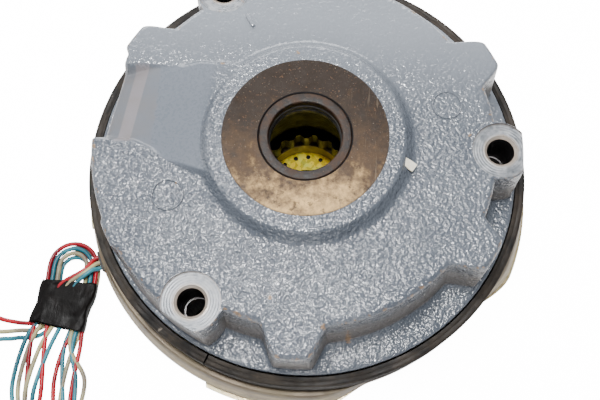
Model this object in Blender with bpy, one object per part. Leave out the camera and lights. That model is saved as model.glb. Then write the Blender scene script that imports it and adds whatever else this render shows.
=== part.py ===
"""Spring-applied electromagnetic disc unit with three bolt bosses.

Metres, +Z up. The origin is the shaft axis at the bottom mounting face. A bolt hole lies on +X,
the other two at 120 and 240 degrees. The magnet body with the coil is on top, the friction
flange is at the bottom, and the armature and the rotor run between them.
"""

import math

import bmesh
import bpy
from mathutils import Matrix, Vector

MM = 0.001
GAP = 0.3 * MM                      # clearance left between pieces that touch
TURN = 2 * math.pi
CUTTER_PHASE = 5.3                  # degrees that each round cutter is turned by

# Bolt pattern
BOLT_COUNT = 3
BOLT_CIRCLE_R = 66.0 * MM
BOLT_HOLE_R = 4.6 * MM
BOSS_R = 10.3 * MM
SPOT_FACE_R = 9.8 * MM
SPOT_FACE_DEPTH = 0.9 * MM

# Stack, from the mounting face up
SHEET_T = 1.5 * MM
FLANGE_T = 12.5 * MM
FLANGE_RECESS = 5.5 * MM
LINING_T = 2.4 * MM
CARRIER_T = 2.6 * MM
ARMATURE_T = 6.15 * MM
AIR_GAP = 0.55 * MM
SKIRT_H = 5.1 * MM
WALL_H = 22.3 * MM
HUB_RISE = 3.7 * MM

# Mounting sheet
SHEET_OVERHANG = 1.6 * MM           # past the flange
SHEET_RELIEF = 0.8 * MM             # short of the flange
SHEET_RELIEF_ANGLES = (195, 247.5)
SHEET_BORE_R = 7.5 * MM
SHEET_DRILLING_R = 0.9 * MM
SHEET_DRILLING_CIRCLE_R = 13.0 * MM
SHEET_DRILLINGS = 16

# Friction flange
FLANGE_OVERHANG = 4.8 * MM          # past the collar
FLANGE_CHAMFER = 2.6 * MM
FLANGE_CHAMFER_H = 9.0 * MM
FLANGE_BORE_R = 15.0 * MM
RECESS_CLEARANCE = 2.0 * MM         # round the rotor
RELIEF_DEPTH = 5.2 * MM
RELIEF_ANGLES = (283, 331)
RELIEF_BLEND = 16

# Rotor
SPLINE_TIP_R = 14.9 * MM
SPLINE_ROOT_R = 16.3 * MM
SPLINE_TEETH = 16
ROTOR_HUB_R = 20.5 * MM
ROTOR_R = 54.0 * MM
LINING_INNER_R = 31.0 * MM
LINING_EDGE = 1.0 * MM
RIVETS = 6
RIVET_CIRCLE_R = 25.5 * MM
RIVET_R = 1.6 * MM
RIVET_HEAD_R = 2.8 * MM
RIVET_HEAD_H = 0.9 * MM

# Armature
ARMATURE_BORE_R = 18.5 * MM
ARMATURE_R = 70.5 * MM

# Magnet body
MAGNET_BORE_R = 17.0 * MM
MAGNET_LIP_R = 14.0 * MM
LIP_T = 2.0 * MM
SKIRT_R = 76.0 * MM
PLATEAU_R = 63.4 * MM
LOBE_R = 73.4 * MM
LOBE_HALF_WIDTH = 6.8 * MM
LOBE_EASE = 1.5 * MM
LOBE_FLARE = 4.2 * MM
LOBE_ANGLE = 30.0
RIM_R = 72.6 * MM
RIM_ANGLES = (181, 235)
FLAT_R = 69.6 * MM
FLAT_ANGLES = (156, 181)
WALL_DRAFT = 2.4 * MM
FOOT_FILLET = 2.2 * MM
TOP_ROUND = 1.5 * MM
RIM_ROUND = 1.0 * MM
HUB_R = 32.6 * MM
HUB_FOOT_R = 35.6 * MM
POCKET_INNER_R = 32.0 * MM
POCKET_OUTER_R = 50.0 * MM
POCKET_H = 17.5 * MM
BODY_SIDES = 90

# Shaft seal in the hub face
SEAT_R = 15.7 * MM
SEAT_DEPTH = 9.6 * MM
BUSH_CLEARANCE = 0.9 * MM
BUSH_BORE_R = 12.3 * MM
BUSH_SINK = 0.35 * MM
BUSH_WALL = 1.5 * MM
BUSH_LIP_T = 2.4 * MM
SEAL_BORE_R = 12.0 * MM

# Coils
BOBBIN_WALL = 1.0 * MM
POTTING_T = 2.0 * MM
HOLDING_SHARE = 0.72

# Brake springs, one under each lobe
SPRINGS = 6
SPRING_CIRCLE_R = 62.0 * MM
SPRING_POCKET_R = 4.4 * MM
SPRING_POCKET_H = 16.0 * MM
SPRING_COIL_R = 3.2 * MM
SPRING_WIRE_R = 0.55 * MM
SPRING_TURNS = 4

# Guide sleeves round the bolts
SLEEVE_R = 6.2 * MM
SLEEVE_STEP = 0.4 * MM              # its bore is that much tighter than the bolt hole
SLEEVE_IN_MAGNET = 10.0 * MM

# Retaining screws
SCREW_CIRCLE_R = 60.0 * MM
SCREW_R = 2.4 * MM
SCREW_HEAD_R = 4.5 * MM
SCREW_HEAD_H = 2.4 * MM
SCREW_IN_MAGNET = 10.0 * MM
SCREW_ANGLE = 60.0

# Sealing collar
COLLAR_T = 3.7 * MM
COLLAR_OVERLAP = 3.7 * MM
COLLAR_RIB = 0.6 * MM
COLLAR_SPLIT_ANGLE = 247.5
COLLAR_SPLIT = 0.9 * MM

# Leads, their outlet, and the hank that they are folded into
LEAD_D = 1.7 * MM
OUTLET_ANGLE = 205.0
OUTLET_WIDTH = 8.0 * MM
OUTLET_H = 4.2 * MM
OUTLET_DEPTH = 9.0 * MM
OUTLET_PROUD = 0.8 * MM
HANK_LINE = ((-88.2, -38.0), (-88.2, -46.0), (-90.8, -61.5), (-92.4, -74.0), (-90.8, -88.0),
             (-89.5, -104.0))
HANK_TOP_HALF = 9.7 * MM
HANK_BOTTOM_HALF = 13.0 * MM
HANK_Z = (0.9 * MM, 6.0 * MM)
TAPE_SPAN = (7.0 * MM, 24.5 * MM)   # along the hank, from the centre of its top end
TAPE_T = 0.5 * MM
TAIL_Z = 0.9 * MM                   # height of a tail's middle where it lies on the ground
TAIL_POINTS = 12
TAILS = {
    "lead_red": ((-104.4, -60.6), (-108.6, -60.3), (-113.0, -59.6), (-118.5, -57.9), (-125.0, -56.2),
                 (-131.5, -56.6)),
    "lead_white": ((-104.7, -63.4), (-108.4, -63.9), (-112.4, -64.4), (-117.6, -64.2),
                   (-123.4, -62.6), (-129.0, -61.9)),
    "lead_blue": ((-105.1, -66.2), (-108.2, -66.8), (-111.8, -67.1), (-117.0, -68.1),
                  (-123.5, -69.3), (-130.4, -68.0)),
}

# Radii that follow from the pieces inside
COLLAR_R = SKIRT_R + GAP + COLLAR_T
FLANGE_R = COLLAR_R + FLANGE_OVERHANG
SHEET_R = FLANGE_R + SHEET_OVERHANG
SHEET_RELIEF_R = FLANGE_R - SHEET_RELIEF
RELIEF_R = FLANGE_R - RELIEF_DEPTH
FLANGE_RECESS_R = ROTOR_R + RECESS_CLEARANCE
SLEEVE_BORE_R = BOLT_HOLE_R - SLEEVE_STEP

# Levels that follow from the stack
FLANGE_Z = SHEET_T + GAP
FLANGE_TOP_Z = FLANGE_Z + FLANGE_T
FRICTION_Z = FLANGE_TOP_Z - FLANGE_RECESS
LOWER_LINING_Z = FRICTION_Z + GAP
CARRIER_Z = LOWER_LINING_Z + LINING_T + GAP
UPPER_LINING_Z = CARRIER_Z + CARRIER_T + GAP
ARMATURE_Z = UPPER_LINING_Z + LINING_T + GAP
ARMATURE_TOP_Z = ARMATURE_Z + ARMATURE_T
MAGNET_Z = ARMATURE_TOP_Z + AIR_GAP
LEDGE_Z = MAGNET_Z + SKIRT_H
PLATEAU_Z = LEDGE_Z + WALL_H
HUB_Z = PLATEAU_Z + HUB_RISE
BOSS_Z = PLATEAU_Z - SPOT_FACE_DEPTH
POCKET_TOP_Z = MAGNET_Z + POCKET_H
SEAT_Z = HUB_Z - SEAT_DEPTH
SPRING_POCKET_Z = MAGNET_Z + SPRING_POCKET_H
BOLT_ANGLES = [360 / BOLT_COUNT * i for i in range(BOLT_COUNT)]
LOBE_ANGLES = [a + side * LOBE_ANGLE for a in BOLT_ANGLES for side in (-1, 1)]
SPRING_ANGLES = [30 + 360 / SPRINGS * i for i in range(SPRINGS)]
SCREW_ANGLES = [a + SCREW_ANGLE for a in BOLT_ANGLES]


def clear_scene():
    for obj in list(bpy.data.objects):
        bpy.data.objects.remove(obj, do_unlink=True)


def material(name, colour, roughness, metallic=0.0):
    made = bpy.data.materials.new(name)
    made.use_nodes = True
    shader = made.node_tree.nodes["Principled BSDF"]
    shader.inputs["Base Color"].default_value = (*colour, 1)
    shader.inputs["Roughness"].default_value = roughness
    shader.inputs["Metallic"].default_value = metallic
    made.diffuse_color = (*colour, 1)
    return made


def add(name, bm, surface, parent=None, smooth=True):
    """An object from a bmesh, with its normals outside and its sharp edges marked."""
    bmesh.ops.remove_doubles(bm, verts=bm.verts, dist=1e-6)
    bmesh.ops.recalc_face_normals(bm, faces=bm.faces)
    mesh = bpy.data.meshes.new(name)
    bm.to_mesh(mesh)
    bm.free()
    if smooth:
        mesh.shade_smooth()
        mesh.set_sharp_from_angle(angle=math.radians(35))
    mesh.materials.append(surface)
    obj = bpy.data.objects.new(name, mesh)
    bpy.context.collection.objects.link(obj)
    obj.parent = parent
    return obj


def cut(obj, cutter):
    """Takes the cutter out of the object, and keeps the cutter out of renders."""
    cutter.hide_render = True
    cutter.display_type = "WIRE"
    bore = obj.modifiers.new("cut_" + cutter.name, "BOOLEAN")
    bore.operation = "DIFFERENCE"
    bore.object = cutter


def polar(radius, degrees, z=0.0):
    turn = math.radians(degrees)
    return Vector((radius * math.cos(turn), radius * math.sin(turn), z))


def ring_of(bm, radii, z):
    """One closed ring of points, with one radius for each even step of a turn."""
    step = 360 / len(radii)
    return [bm.verts.new(polar(r, step * i, z)) for i, r in enumerate(radii)]


def skin(bm, lower, upper):
    count = len(lower)
    for i in range(count):
        j = (i + 1) % count
        bm.faces.new((lower[i], lower[j], upper[j], upper[i]))


def turned_rings(rings, closed=True):
    """A solid from rings of (radii, z), joined each to the next, and the last to the first."""
    bm = bmesh.new()
    made = [ring_of(bm, radii, z) for radii, z in rings]
    for lower, upper in zip(made, made[1:]):
        skin(bm, lower, upper)
    if closed:
        skin(bm, made[-1], made[0])
    else:
        bm.faces.new(made[0])
        bm.faces.new(made[-1])
    return bm


def turned(profile, sides=36, closed=True):
    """A ring turned from a closed profile of (radius, z), or a pin from an open one."""
    return turned_rings([([r] * sides, z) for r, z in profile], closed)


def moved(bm, offset):
    bmesh.ops.translate(bm, verts=bm.verts, vec=offset)
    return bm


def phased(bm, degrees):
    bmesh.ops.rotate(bm, verts=bm.verts, matrix=Matrix.Rotation(math.radians(degrees), 3, "Z"))
    return bm


def bore(name, radius, z_low, z_high, place=(0, 0), sides=20):
    """A cutter: a plain cylinder that stands on a point, turned so that no edges line up."""
    bm = phased(turned([(radius, z_low), (radius, z_high)], sides, closed=False), CUTTER_PHASE)
    return add(name, moved(bm, Vector((*place, 0))), CUTTER)


def smooth_step(low, high, value):
    share = min(1, max(0, (value - low) / (high - low)))
    return share * share * (3 - 2 * share)


def off_centre(degrees, centre):
    return (degrees - centre + 180) % 360 - 180


def within(degrees, limits, blend):
    """1 inside a span of angles, 0 outside, with a smooth blend at both ends."""
    middle = (limits[0] + limits[1]) / 2
    half = (limits[1] - limits[0]) / 2
    return 1 - smooth_step(half - blend / 2, half + blend / 2, abs(off_centre(degrees, middle)))


def wall_radius(degrees):
    """The outline of the magnet body's upper part: an arc with lobes, bosses, a rim and a flat."""
    radius = PLATEAU_R
    for centre in LOBE_ANGLES:
        across = PLATEAU_R * math.radians(abs(off_centre(degrees, centre)))
        share = 1 - smooth_step(LOBE_HALF_WIDTH - LOBE_EASE, LOBE_HALF_WIDTH + LOBE_FLARE, across)
        radius = max(radius, PLATEAU_R + (LOBE_R - PLATEAU_R) * share)
    for centre in BOLT_ANGLES:
        turn = math.radians(off_centre(degrees, centre))
        side = BOLT_CIRCLE_R * math.sin(turn)
        if abs(turn) < 1 and abs(side) < BOSS_R:
            outer = BOLT_CIRCLE_R * math.cos(turn) + math.sqrt(BOSS_R ** 2 - side ** 2)
            radius = max(radius, outer)
    radius = max(radius, PLATEAU_R + (RIM_R - PLATEAU_R) * within(degrees, RIM_ANGLES, 3))
    return radius + (min(radius, FLAT_R) - radius) * within(degrees, FLAT_ANGLES, 4) \
        + max(0, FLAT_R - radius) * within(degrees, FLAT_ANGLES, 4)


def magnet_body(surface):
    """The cast body. Its outer skin is a stack of rings that follow the outline."""
    step = 360 / BODY_SIDES
    wall = [wall_radius(step * i) for i in range(BODY_SIDES)]

    def outline(grow):
        return [min(r + grow, SKIRT_R - 1.0 * MM) for r in wall]

    def even(radius):
        return [radius] * BODY_SIDES

    rings = [
        (even(SEAT_R), SEAT_Z),
        (even(MAGNET_LIP_R), SEAT_Z),
        (even(MAGNET_LIP_R), SEAT_Z - LIP_T),
        (even(MAGNET_BORE_R), SEAT_Z - LIP_T),
        (even(MAGNET_BORE_R), MAGNET_Z),
        (even(SKIRT_R), MAGNET_Z),
        (even(SKIRT_R), LEDGE_Z - RIM_ROUND),
        (even(SKIRT_R - RIM_ROUND), LEDGE_Z),
        (outline(WALL_DRAFT), LEDGE_Z + FOOT_FILLET),
        (outline(0), PLATEAU_Z - TOP_ROUND),
        (outline(-TOP_ROUND), PLATEAU_Z),
        (even(HUB_FOOT_R), PLATEAU_Z),
        (even(HUB_R), HUB_Z - TOP_ROUND),
        (even(HUB_R - TOP_ROUND), HUB_Z),
        (even(SEAT_R), HUB_Z),
    ]
    foot = [min(r + WALL_DRAFT + FOOT_FILLET, SKIRT_R - RIM_ROUND - GAP) for r in wall]
    rings.insert(8, (foot, LEDGE_Z))
    body = add("magnet_body", turned_rings(rings), surface)
    pocket = [(POCKET_INNER_R, MAGNET_Z - MM), (POCKET_OUTER_R, MAGNET_Z - MM),
              (POCKET_OUTER_R, POCKET_TOP_Z), (POCKET_INNER_R, POCKET_TOP_Z)]
    cut(body, add("pocket_cutter", turned(pocket), CUTTER))
    for i, angle in enumerate(BOLT_ANGLES):
        place = polar(BOLT_CIRCLE_R, angle).xy
        cut(body, bore(f"bolt_cutter_{i}", BOLT_HOLE_R, MAGNET_Z - MM, HUB_Z, place))
        cut(body, bore(f"spot_cutter_{i}", SPOT_FACE_R, BOSS_Z, HUB_Z, place, 24))
        sleeve_top = MAGNET_Z + SLEEVE_IN_MAGNET
        cut(body, bore(f"sleeve_cutter_{i}", SLEEVE_R + GAP, MAGNET_Z - MM, sleeve_top, place))
    for i, angle in enumerate(SCREW_ANGLES):
        place = polar(SCREW_CIRCLE_R, angle).xy
        top = MAGNET_Z + SCREW_IN_MAGNET + GAP
        cut(body, bore(f"screw_cutter_{i}", SCREW_R + GAP, MAGNET_Z - MM, top, place, 12))
    for i, angle in enumerate(SPRING_ANGLES):
        place = polar(SPRING_CIRCLE_R, angle).xy
        cut(body, bore(f"spring_cutter_{i}", SPRING_POCKET_R, MAGNET_Z - MM, SPRING_POCKET_Z, place, 12))
    return body


def shaft_seal(steel, rubber):
    """The pressed ring in the hub face and the lip seal inside it."""
    outer = SEAT_R - BUSH_CLEARANCE
    low = SEAT_Z + GAP
    top = HUB_Z - BUSH_SINK
    case = [(BUSH_BORE_R, top), (BUSH_BORE_R, top - BUSH_LIP_T), (outer - BUSH_WALL, top - BUSH_LIP_T),
            (outer - BUSH_WALL, low), (outer, low), (outer, top)]
    add("seal_case", turned(case), steel)
    seal_outer = outer - BUSH_WALL - GAP
    seal_top = top - BUSH_LIP_T - GAP
    middle = (seal_top + low) / 2
    lip = [(SEAL_BORE_R + MM, seal_top), (SEAL_BORE_R, middle), (SEAL_BORE_R + 0.4 * MM, low),
           (seal_outer, low), (seal_outer, seal_top)]
    add("shaft_seal", turned(lip), rubber)


def coil_set(plastic, holding_wire, boost_wire, resin):
    """Bobbin, the two windings beside each other in it, and the resin that closes the pocket."""
    inner = POCKET_INNER_R + GAP
    outer = POCKET_OUTER_R - GAP
    top = POCKET_TOP_Z - GAP
    potting_top = MAGNET_Z + POTTING_T
    low = potting_top + GAP
    bobbin = [(inner, low), (outer, low), (outer, low + BOBBIN_WALL), (inner + BOBBIN_WALL, low + BOBBIN_WALL),
              (inner + BOBBIN_WALL, top - BOBBIN_WALL), (outer, top - BOBBIN_WALL), (outer, top), (inner, top)]
    add("coil_bobbin", turned(bobbin), plastic)
    wound_low = low + BOBBIN_WALL + GAP
    wound_high = top - BOBBIN_WALL - GAP
    first = inner + BOBBIN_WALL + GAP
    change = first + (outer - first) * HOLDING_SHARE
    for name, near, far, wire in (("holding_coil", first, change, holding_wire),
                                  ("boost_coil", change + GAP, outer, boost_wire)):
        ring = [(near, wound_low), (far, wound_low), (far, wound_high), (near, wound_high)]
        add(name, turned(ring), wire)
    ring = [(inner, MAGNET_Z), (outer, MAGNET_Z), (outer, potting_top), (inner, potting_top)]
    add("potting_ring", turned(ring), resin)


def springs(surface):
    """Compression springs, each a round wire wound on a helix from the armature to its pocket."""
    low = ARMATURE_TOP_Z + GAP + SPRING_WIRE_R
    high = SPRING_POCKET_Z - GAP - SPRING_WIRE_R
    around = 8
    count = SPRING_TURNS * around + 1
    sides = 4
    for number, angle in enumerate(SPRING_ANGLES, 1):
        bm = bmesh.new()
        loops = []
        for i in range(count):
            share = i / (count - 1)
            turn = TURN * SPRING_TURNS * share
            out = Vector((math.cos(turn), math.sin(turn), 0))
            middle = out * SPRING_COIL_R + Vector((0, 0, low + (high - low) * share))
            loops.append([
                bm.verts.new(middle + out * SPRING_WIRE_R * math.cos(TURN * k / sides)
                             + Vector((0, 0, SPRING_WIRE_R * math.sin(TURN * k / sides))))
                for k in range(sides)
            ])
        for lower, upper in zip(loops, loops[1:]):
            skin(bm, lower, upper)
        bm.faces.new(loops[0])
        bm.faces.new(loops[-1])
        moved(bm, polar(SPRING_CIRCLE_R, angle))
        add(f"brake_spring_{number}", bm, surface)


def armature(surface):
    """The armature plate, which slides along the shaft axis on the guide sleeves."""
    axis = bpy.data.objects.new("armature_axis", None)
    bpy.context.collection.objects.link(axis)
    profile = [(ARMATURE_BORE_R, ARMATURE_Z), (ARMATURE_R, ARMATURE_Z),
               (ARMATURE_R, ARMATURE_TOP_Z), (ARMATURE_BORE_R, ARMATURE_TOP_Z)]
    plate = add("armature_plate", turned(profile, 64), surface, axis)
    for i, angle in enumerate(BOLT_ANGLES):
        place = polar(BOLT_CIRCLE_R, angle).xy
        cut(plate, bore(f"guide_cutter_{i}", SLEEVE_R + GAP, ARMATURE_Z - MM, ARMATURE_TOP_Z + MM, place))
    for i, angle in enumerate(SCREW_ANGLES):
        place = polar(SCREW_CIRCLE_R, angle).xy
        radius = SCREW_R + 2 * GAP
        cut(plate, bore(f"passage_cutter_{i}", radius, ARMATURE_Z - MM, ARMATURE_TOP_Z + MM, place, 16))


def rotor(alloy, friction, rivet_metal):
    """The splined hub and web, a friction lining on each face, and the rivets in the web."""
    axis = bpy.data.objects.new("rotor_axis", None)
    bpy.context.collection.objects.link(axis)
    per_tooth = 4
    count = SPLINE_TEETH * per_tooth
    spline = [SPLINE_TIP_R if i % per_tooth in (0, 1) else SPLINE_ROOT_R for i in range(count)]

    def even(radius):
        return [radius] * count

    hub_low = LOWER_LINING_Z
    hub_high = UPPER_LINING_Z + LINING_T
    web_high = CARRIER_Z + CARRIER_T
    rings = [(spline, hub_low), (even(ROTOR_HUB_R), hub_low), (even(ROTOR_HUB_R), CARRIER_Z),
             (even(ROTOR_R - LINING_EDGE), CARRIER_Z), (even(ROTOR_R - LINING_EDGE), web_high),
             (even(ROTOR_HUB_R), web_high), (even(ROTOR_HUB_R), hub_high), (spline, hub_high)]
    carrier = add("rotor_carrier", turned_rings(rings), alloy, axis)
    for name, low in (("lower_lining", LOWER_LINING_Z), ("upper_lining", UPPER_LINING_Z)):
        high = low + LINING_T
        ring = [(LINING_INNER_R, low), (ROTOR_R, low), (ROTOR_R, high), (LINING_INNER_R, high)]
        add(name, turned(ring), friction, axis)
    for number in range(1, RIVETS + 1):
        angle = 360 / RIVETS * number
        place = polar(RIVET_CIRCLE_R, angle)
        cut(carrier, bore(f"rivet_cutter_{number}", RIVET_R + GAP, CARRIER_Z - MM, web_high + MM,
                          place.xy, 8))
        low = CARRIER_Z - GAP
        high = web_high + GAP
        pin = [(RIVET_HEAD_R, low - RIVET_HEAD_H), (RIVET_HEAD_R, low), (RIVET_R, low),
               (RIVET_R, high), (RIVET_HEAD_R, high), (RIVET_HEAD_R, high + RIVET_HEAD_H)]
        add(f"rotor_rivet_{number}", moved(turned(pin, 8, closed=False), place), rivet_metal, axis)


def relieved(radius, low_radius, limits, blend, sides):
    step = 360 / sides
    return [radius - (radius - low_radius) * within(step * i, limits, blend) for i in range(sides)]


def flange(surface):
    """The friction flange, with its recess for the rotor and the lead outlet in its rim."""
    sides = 60
    chamfered = FLANGE_R - FLANGE_CHAMFER

    def rim(radius):
        return relieved(radius, min(radius, RELIEF_R), RELIEF_ANGLES, RELIEF_BLEND, sides)

    def even(radius):
        return [radius] * sides

    rings = [(even(FLANGE_BORE_R), FLANGE_Z), (rim(FLANGE_R), FLANGE_Z),
             (rim(FLANGE_R), FLANGE_TOP_Z - FLANGE_CHAMFER_H), (rim(chamfered), FLANGE_TOP_Z),
             (even(FLANGE_RECESS_R), FLANGE_TOP_Z), (even(FLANGE_RECESS_R), FRICTION_Z),
             (even(FLANGE_BORE_R), FRICTION_Z)]
    plate = add("friction_flange", turned_rings(rings), surface)
    for i, angle in enumerate(BOLT_ANGLES):
        place = polar(BOLT_CIRCLE_R, angle).xy
        cut(plate, bore(f"flange_bolt_cutter_{i}", BOLT_HOLE_R, 0, FLANGE_TOP_Z + MM, place, 16))
    for i, angle in enumerate(SCREW_ANGLES):
        place = polar(SCREW_CIRCLE_R, angle)
        head_top = FLANGE_Z + SCREW_HEAD_H
        wide = SCREW_HEAD_R + 2 * GAP
        narrow = SCREW_R + GAP
        sink = turned([(wide, 0), (wide, FLANGE_Z + 2 * GAP), (narrow, head_top + 3 * GAP),
                       (narrow, FLANGE_TOP_Z + MM)], 12, closed=False)
        cut(plate, add(f"countersink_cutter_{i}", moved(phased(sink, CUTTER_PHASE), place), CUTTER))
    slot = bmesh.new()
    length = OUTLET_DEPTH + 2 * MM
    turn = Matrix.Rotation(math.radians(OUTLET_ANGLE), 4, "Z")
    centre = Matrix.Translation((FLANGE_R - OUTLET_DEPTH + length / 2, 0, FLANGE_Z + OUTLET_H / 2))
    size = Matrix.Diagonal((length, OUTLET_WIDTH + 2 * GAP, OUTLET_H + 2 * GAP, 1))
    bmesh.ops.create_cube(slot, size=1, matrix=turn @ centre @ size)
    cut(plate, add("outlet_cutter", slot, CUTTER, smooth=False))


def mounting_sheet(surface):
    """The plated sheet under the flange. Its lower side is the mounting face."""
    sides = 60
    rim = relieved(SHEET_R, SHEET_RELIEF_R, SHEET_RELIEF_ANGLES, 1, sides)
    rim = [min(r, other) for r, other in
           zip(rim, relieved(SHEET_R, RELIEF_R, RELIEF_ANGLES, RELIEF_BLEND, sides))]
    rings = [([SHEET_BORE_R] * sides, 0), (rim, 0), (rim, SHEET_T), ([SHEET_BORE_R] * sides, SHEET_T)]
    sheet = add("mounting_sheet", turned_rings(rings), surface)
    for i, angle in enumerate(BOLT_ANGLES):
        place = polar(BOLT_CIRCLE_R, angle).xy
        cut(sheet, bore(f"sheet_bolt_cutter_{i}", BOLT_HOLE_R, -MM, SHEET_T + MM, place, 16))
    for i, angle in enumerate(SCREW_ANGLES):
        place = polar(SCREW_CIRCLE_R, angle).xy
        cut(sheet, bore(f"sheet_screw_cutter_{i}", SCREW_HEAD_R + 2 * GAP, -MM, SHEET_T + MM, place, 16))
    for i in range(SHEET_DRILLINGS):
        place = polar(SHEET_DRILLING_CIRCLE_R, 360 / SHEET_DRILLINGS * i).xy
        cut(sheet, bore(f"drilling_cutter_{i}", SHEET_DRILLING_R, -MM, SHEET_T + MM, place, 8))


def guide_sleeves(surface):
    """Hollow sleeves that set the magnet's distance from the flange. The bolts pass through."""
    low = FLANGE_TOP_Z + GAP
    high = MAGNET_Z + SLEEVE_IN_MAGNET - GAP
    for number, angle in enumerate(BOLT_ANGLES, 1):
        wall = [(SLEEVE_BORE_R, low), (SLEEVE_R, low), (SLEEVE_R, high), (SLEEVE_BORE_R, high)]
        add(f"guide_sleeve_{number}", moved(turned(wall, 18), polar(BOLT_CIRCLE_R, angle)), surface)


def retaining_screws(surface):
    """Countersunk screws that hold the flange to the magnet body before it is mounted."""
    for number, angle in enumerate(SCREW_ANGLES, 1):
        low = FLANGE_Z + GAP
        pin = [(SCREW_HEAD_R, low), (SCREW_R, low + SCREW_HEAD_H), (SCREW_R, MAGNET_Z + SCREW_IN_MAGNET)]
        screw = moved(turned(pin, 12, closed=False), polar(SCREW_CIRCLE_R, angle))
        add(f"retaining_screw_{number}", screw, surface)


def sealing_collar(surface):
    """The rubber collar over the air gap: a ribbed band, open at its split."""
    inner = SKIRT_R + GAP
    low = FLANGE_TOP_Z + GAP
    high = MAGNET_Z + COLLAR_OVERLAP
    height = high - low
    profile = [(inner, low), (COLLAR_R, low)]
    for share, depth in ((0.35, 0), (0.5, COLLAR_RIB), (0.65, 0)):
        profile.append((COLLAR_R - depth, low + height * share))
    profile += [(COLLAR_R - MM, high - 0.6 * MM), (inner, high)]
    bm = bmesh.new()
    half = math.degrees(COLLAR_SPLIT / 2 / COLLAR_R)
    first = COLLAR_SPLIT_ANGLE + half
    last = COLLAR_SPLIT_ANGLE - half + 360
    steps = 60
    loops = []
    for i in range(steps + 1):
        angle = first + (last - first) * i / steps
        loops.append([bm.verts.new(polar(r, angle, z)) for r, z in profile])
    for one, other in zip(loops, loops[1:]):
        skin(bm, one, other)
    bm.faces.new(loops[0])
    bm.faces.new(loops[-1])
    add("sealing_collar", bm, surface)


def lead_grommet(surface):
    """The rubber block in the flange's rim that the three leads come through."""
    bm = bmesh.new()
    length = OUTLET_DEPTH + OUTLET_PROUD - GAP
    turn = Matrix.Rotation(math.radians(OUTLET_ANGLE), 4, "Z")
    low = FLANGE_Z + GAP
    high = FLANGE_Z + OUTLET_H
    middle = FLANGE_R - OUTLET_DEPTH + GAP + length / 2
    centre = Matrix.Translation((middle, 0, (low + high) / 2))
    size = Matrix.Diagonal((length, OUTLET_WIDTH, high - low, 1))
    bmesh.ops.create_cube(bm, size=1, matrix=turn @ centre @ size)
    bmesh.ops.bevel(bm, geom=bm.edges, offset=0.4 * MM, segments=2, profile=0.5, affect="EDGES",
                    material=-1)
    add("lead_grommet", bm, surface)


def hank_length():
    line = [Vector(p) * MM for p in HANK_LINE]
    return sum((other - one).length for one, other in zip(line, line[1:]))


def hank_place(along):
    """The point that far along the hank's middle line, its direction and its side direction."""
    line = [Vector(p) * MM for p in HANK_LINE]
    left = along
    for one, other in zip(line, line[1:]):
        leg = (other - one).length
        if left <= leg or other is line[-1]:
            break
        left -= leg
    direction = (other - one).normalized()
    return one + direction * left, direction, Vector((-direction.y, direction.x))


def hank_half(distance):
    return HANK_TOP_HALF + (HANK_BOTTOM_HALF - HANK_TOP_HALF) * distance / hank_length()


def lead_hank(surface):
    """The outer shape of the folded leads: a band along their line, with round ends."""
    steps = 10
    length = hank_length()
    stations = [length * i / steps for i in range(1, steps)]
    outline = []
    top, along, side = hank_place(0)
    for i in range(steps + 1):
        turn = math.pi * i / steps
        outline.append(top + (side * math.cos(turn) - along * math.sin(turn)) * HANK_TOP_HALF)
    for distance in stations:
        middle, along, side = hank_place(distance)
        outline.append(middle - side * hank_half(distance))
    bottom, along, side = hank_place(length)
    for i in range(steps + 1):
        turn = math.pi * i / steps
        outline.append(bottom - (side * math.cos(turn) - along * math.sin(turn)) * HANK_BOTTOM_HALF)
    for distance in reversed(stations):
        middle, along, side = hank_place(distance)
        outline.append(middle + side * hank_half(distance))
    bm = bmesh.new()
    low, high = HANK_Z
    face = bm.faces.new([bm.verts.new((p.x, p.y, low)) for p in outline])
    raised = bmesh.ops.extrude_face_region(bm, geom=[face])
    points = [g for g in raised["geom"] if isinstance(g, bmesh.types.BMVert)]
    bmesh.ops.translate(bm, verts=points, vec=(0, 0, high - low))
    bmesh.ops.triangulate(bm, faces=bm.faces)
    add("lead_hank", bm, surface)


def hank_tape(surface):
    """The tape wound round the hank: a flat sleeve."""
    bm = bmesh.new()
    rings = []
    for grow in (GAP, GAP + TAPE_T):
        for distance in TAPE_SPAN:
            half = hank_half(distance) + grow
            middle, _, side = hank_place(distance)
            low = HANK_Z[0] - grow
            high = HANK_Z[1] + grow
            corners = ((-half, low), (half, low), (half, high), (-half, high))
            rings.append([bm.verts.new((*(middle + side * across), z)) for across, z in corners])
    inner_near, inner_far, outer_near, outer_far = rings
    skin(bm, inner_near, inner_far)
    skin(bm, outer_near, outer_far)
    skin(bm, inner_near, outer_near)
    skin(bm, inner_far, outer_far)
    add("hank_tape", bm, surface, smooth=False)


def through(points, count):
    """Evenly spread points on a smooth curve through a cord's own points."""
    ends = [points[0] * 2 - points[1], *points, points[-1] * 2 - points[-2]]
    fine = []
    for a, b, c, d in zip(ends, ends[1:], ends[2:], ends[3:]):
        for i in range(20):
            t = i / 20
            fine.append(0.5 * (2 * b + (c - a) * t + (2 * a - 5 * b + 4 * c - d) * t * t
                               + (3 * b - a - 3 * c + d) * t ** 3))
    fine.append(points[-1])
    run = [0]
    for one, other in zip(fine, fine[1:]):
        run.append(run[-1] + (other - one).length)
    made = []
    at = 0
    for k in range(count):
        goal = run[-1] * k / (count - 1)
        while at < len(run) - 2 and run[at + 1] < goal:
            at += 1
        share = (goal - run[at]) / (run[at + 1] - run[at])
        made.append(fine[at].lerp(fine[at + 1], share))
    return made


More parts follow.
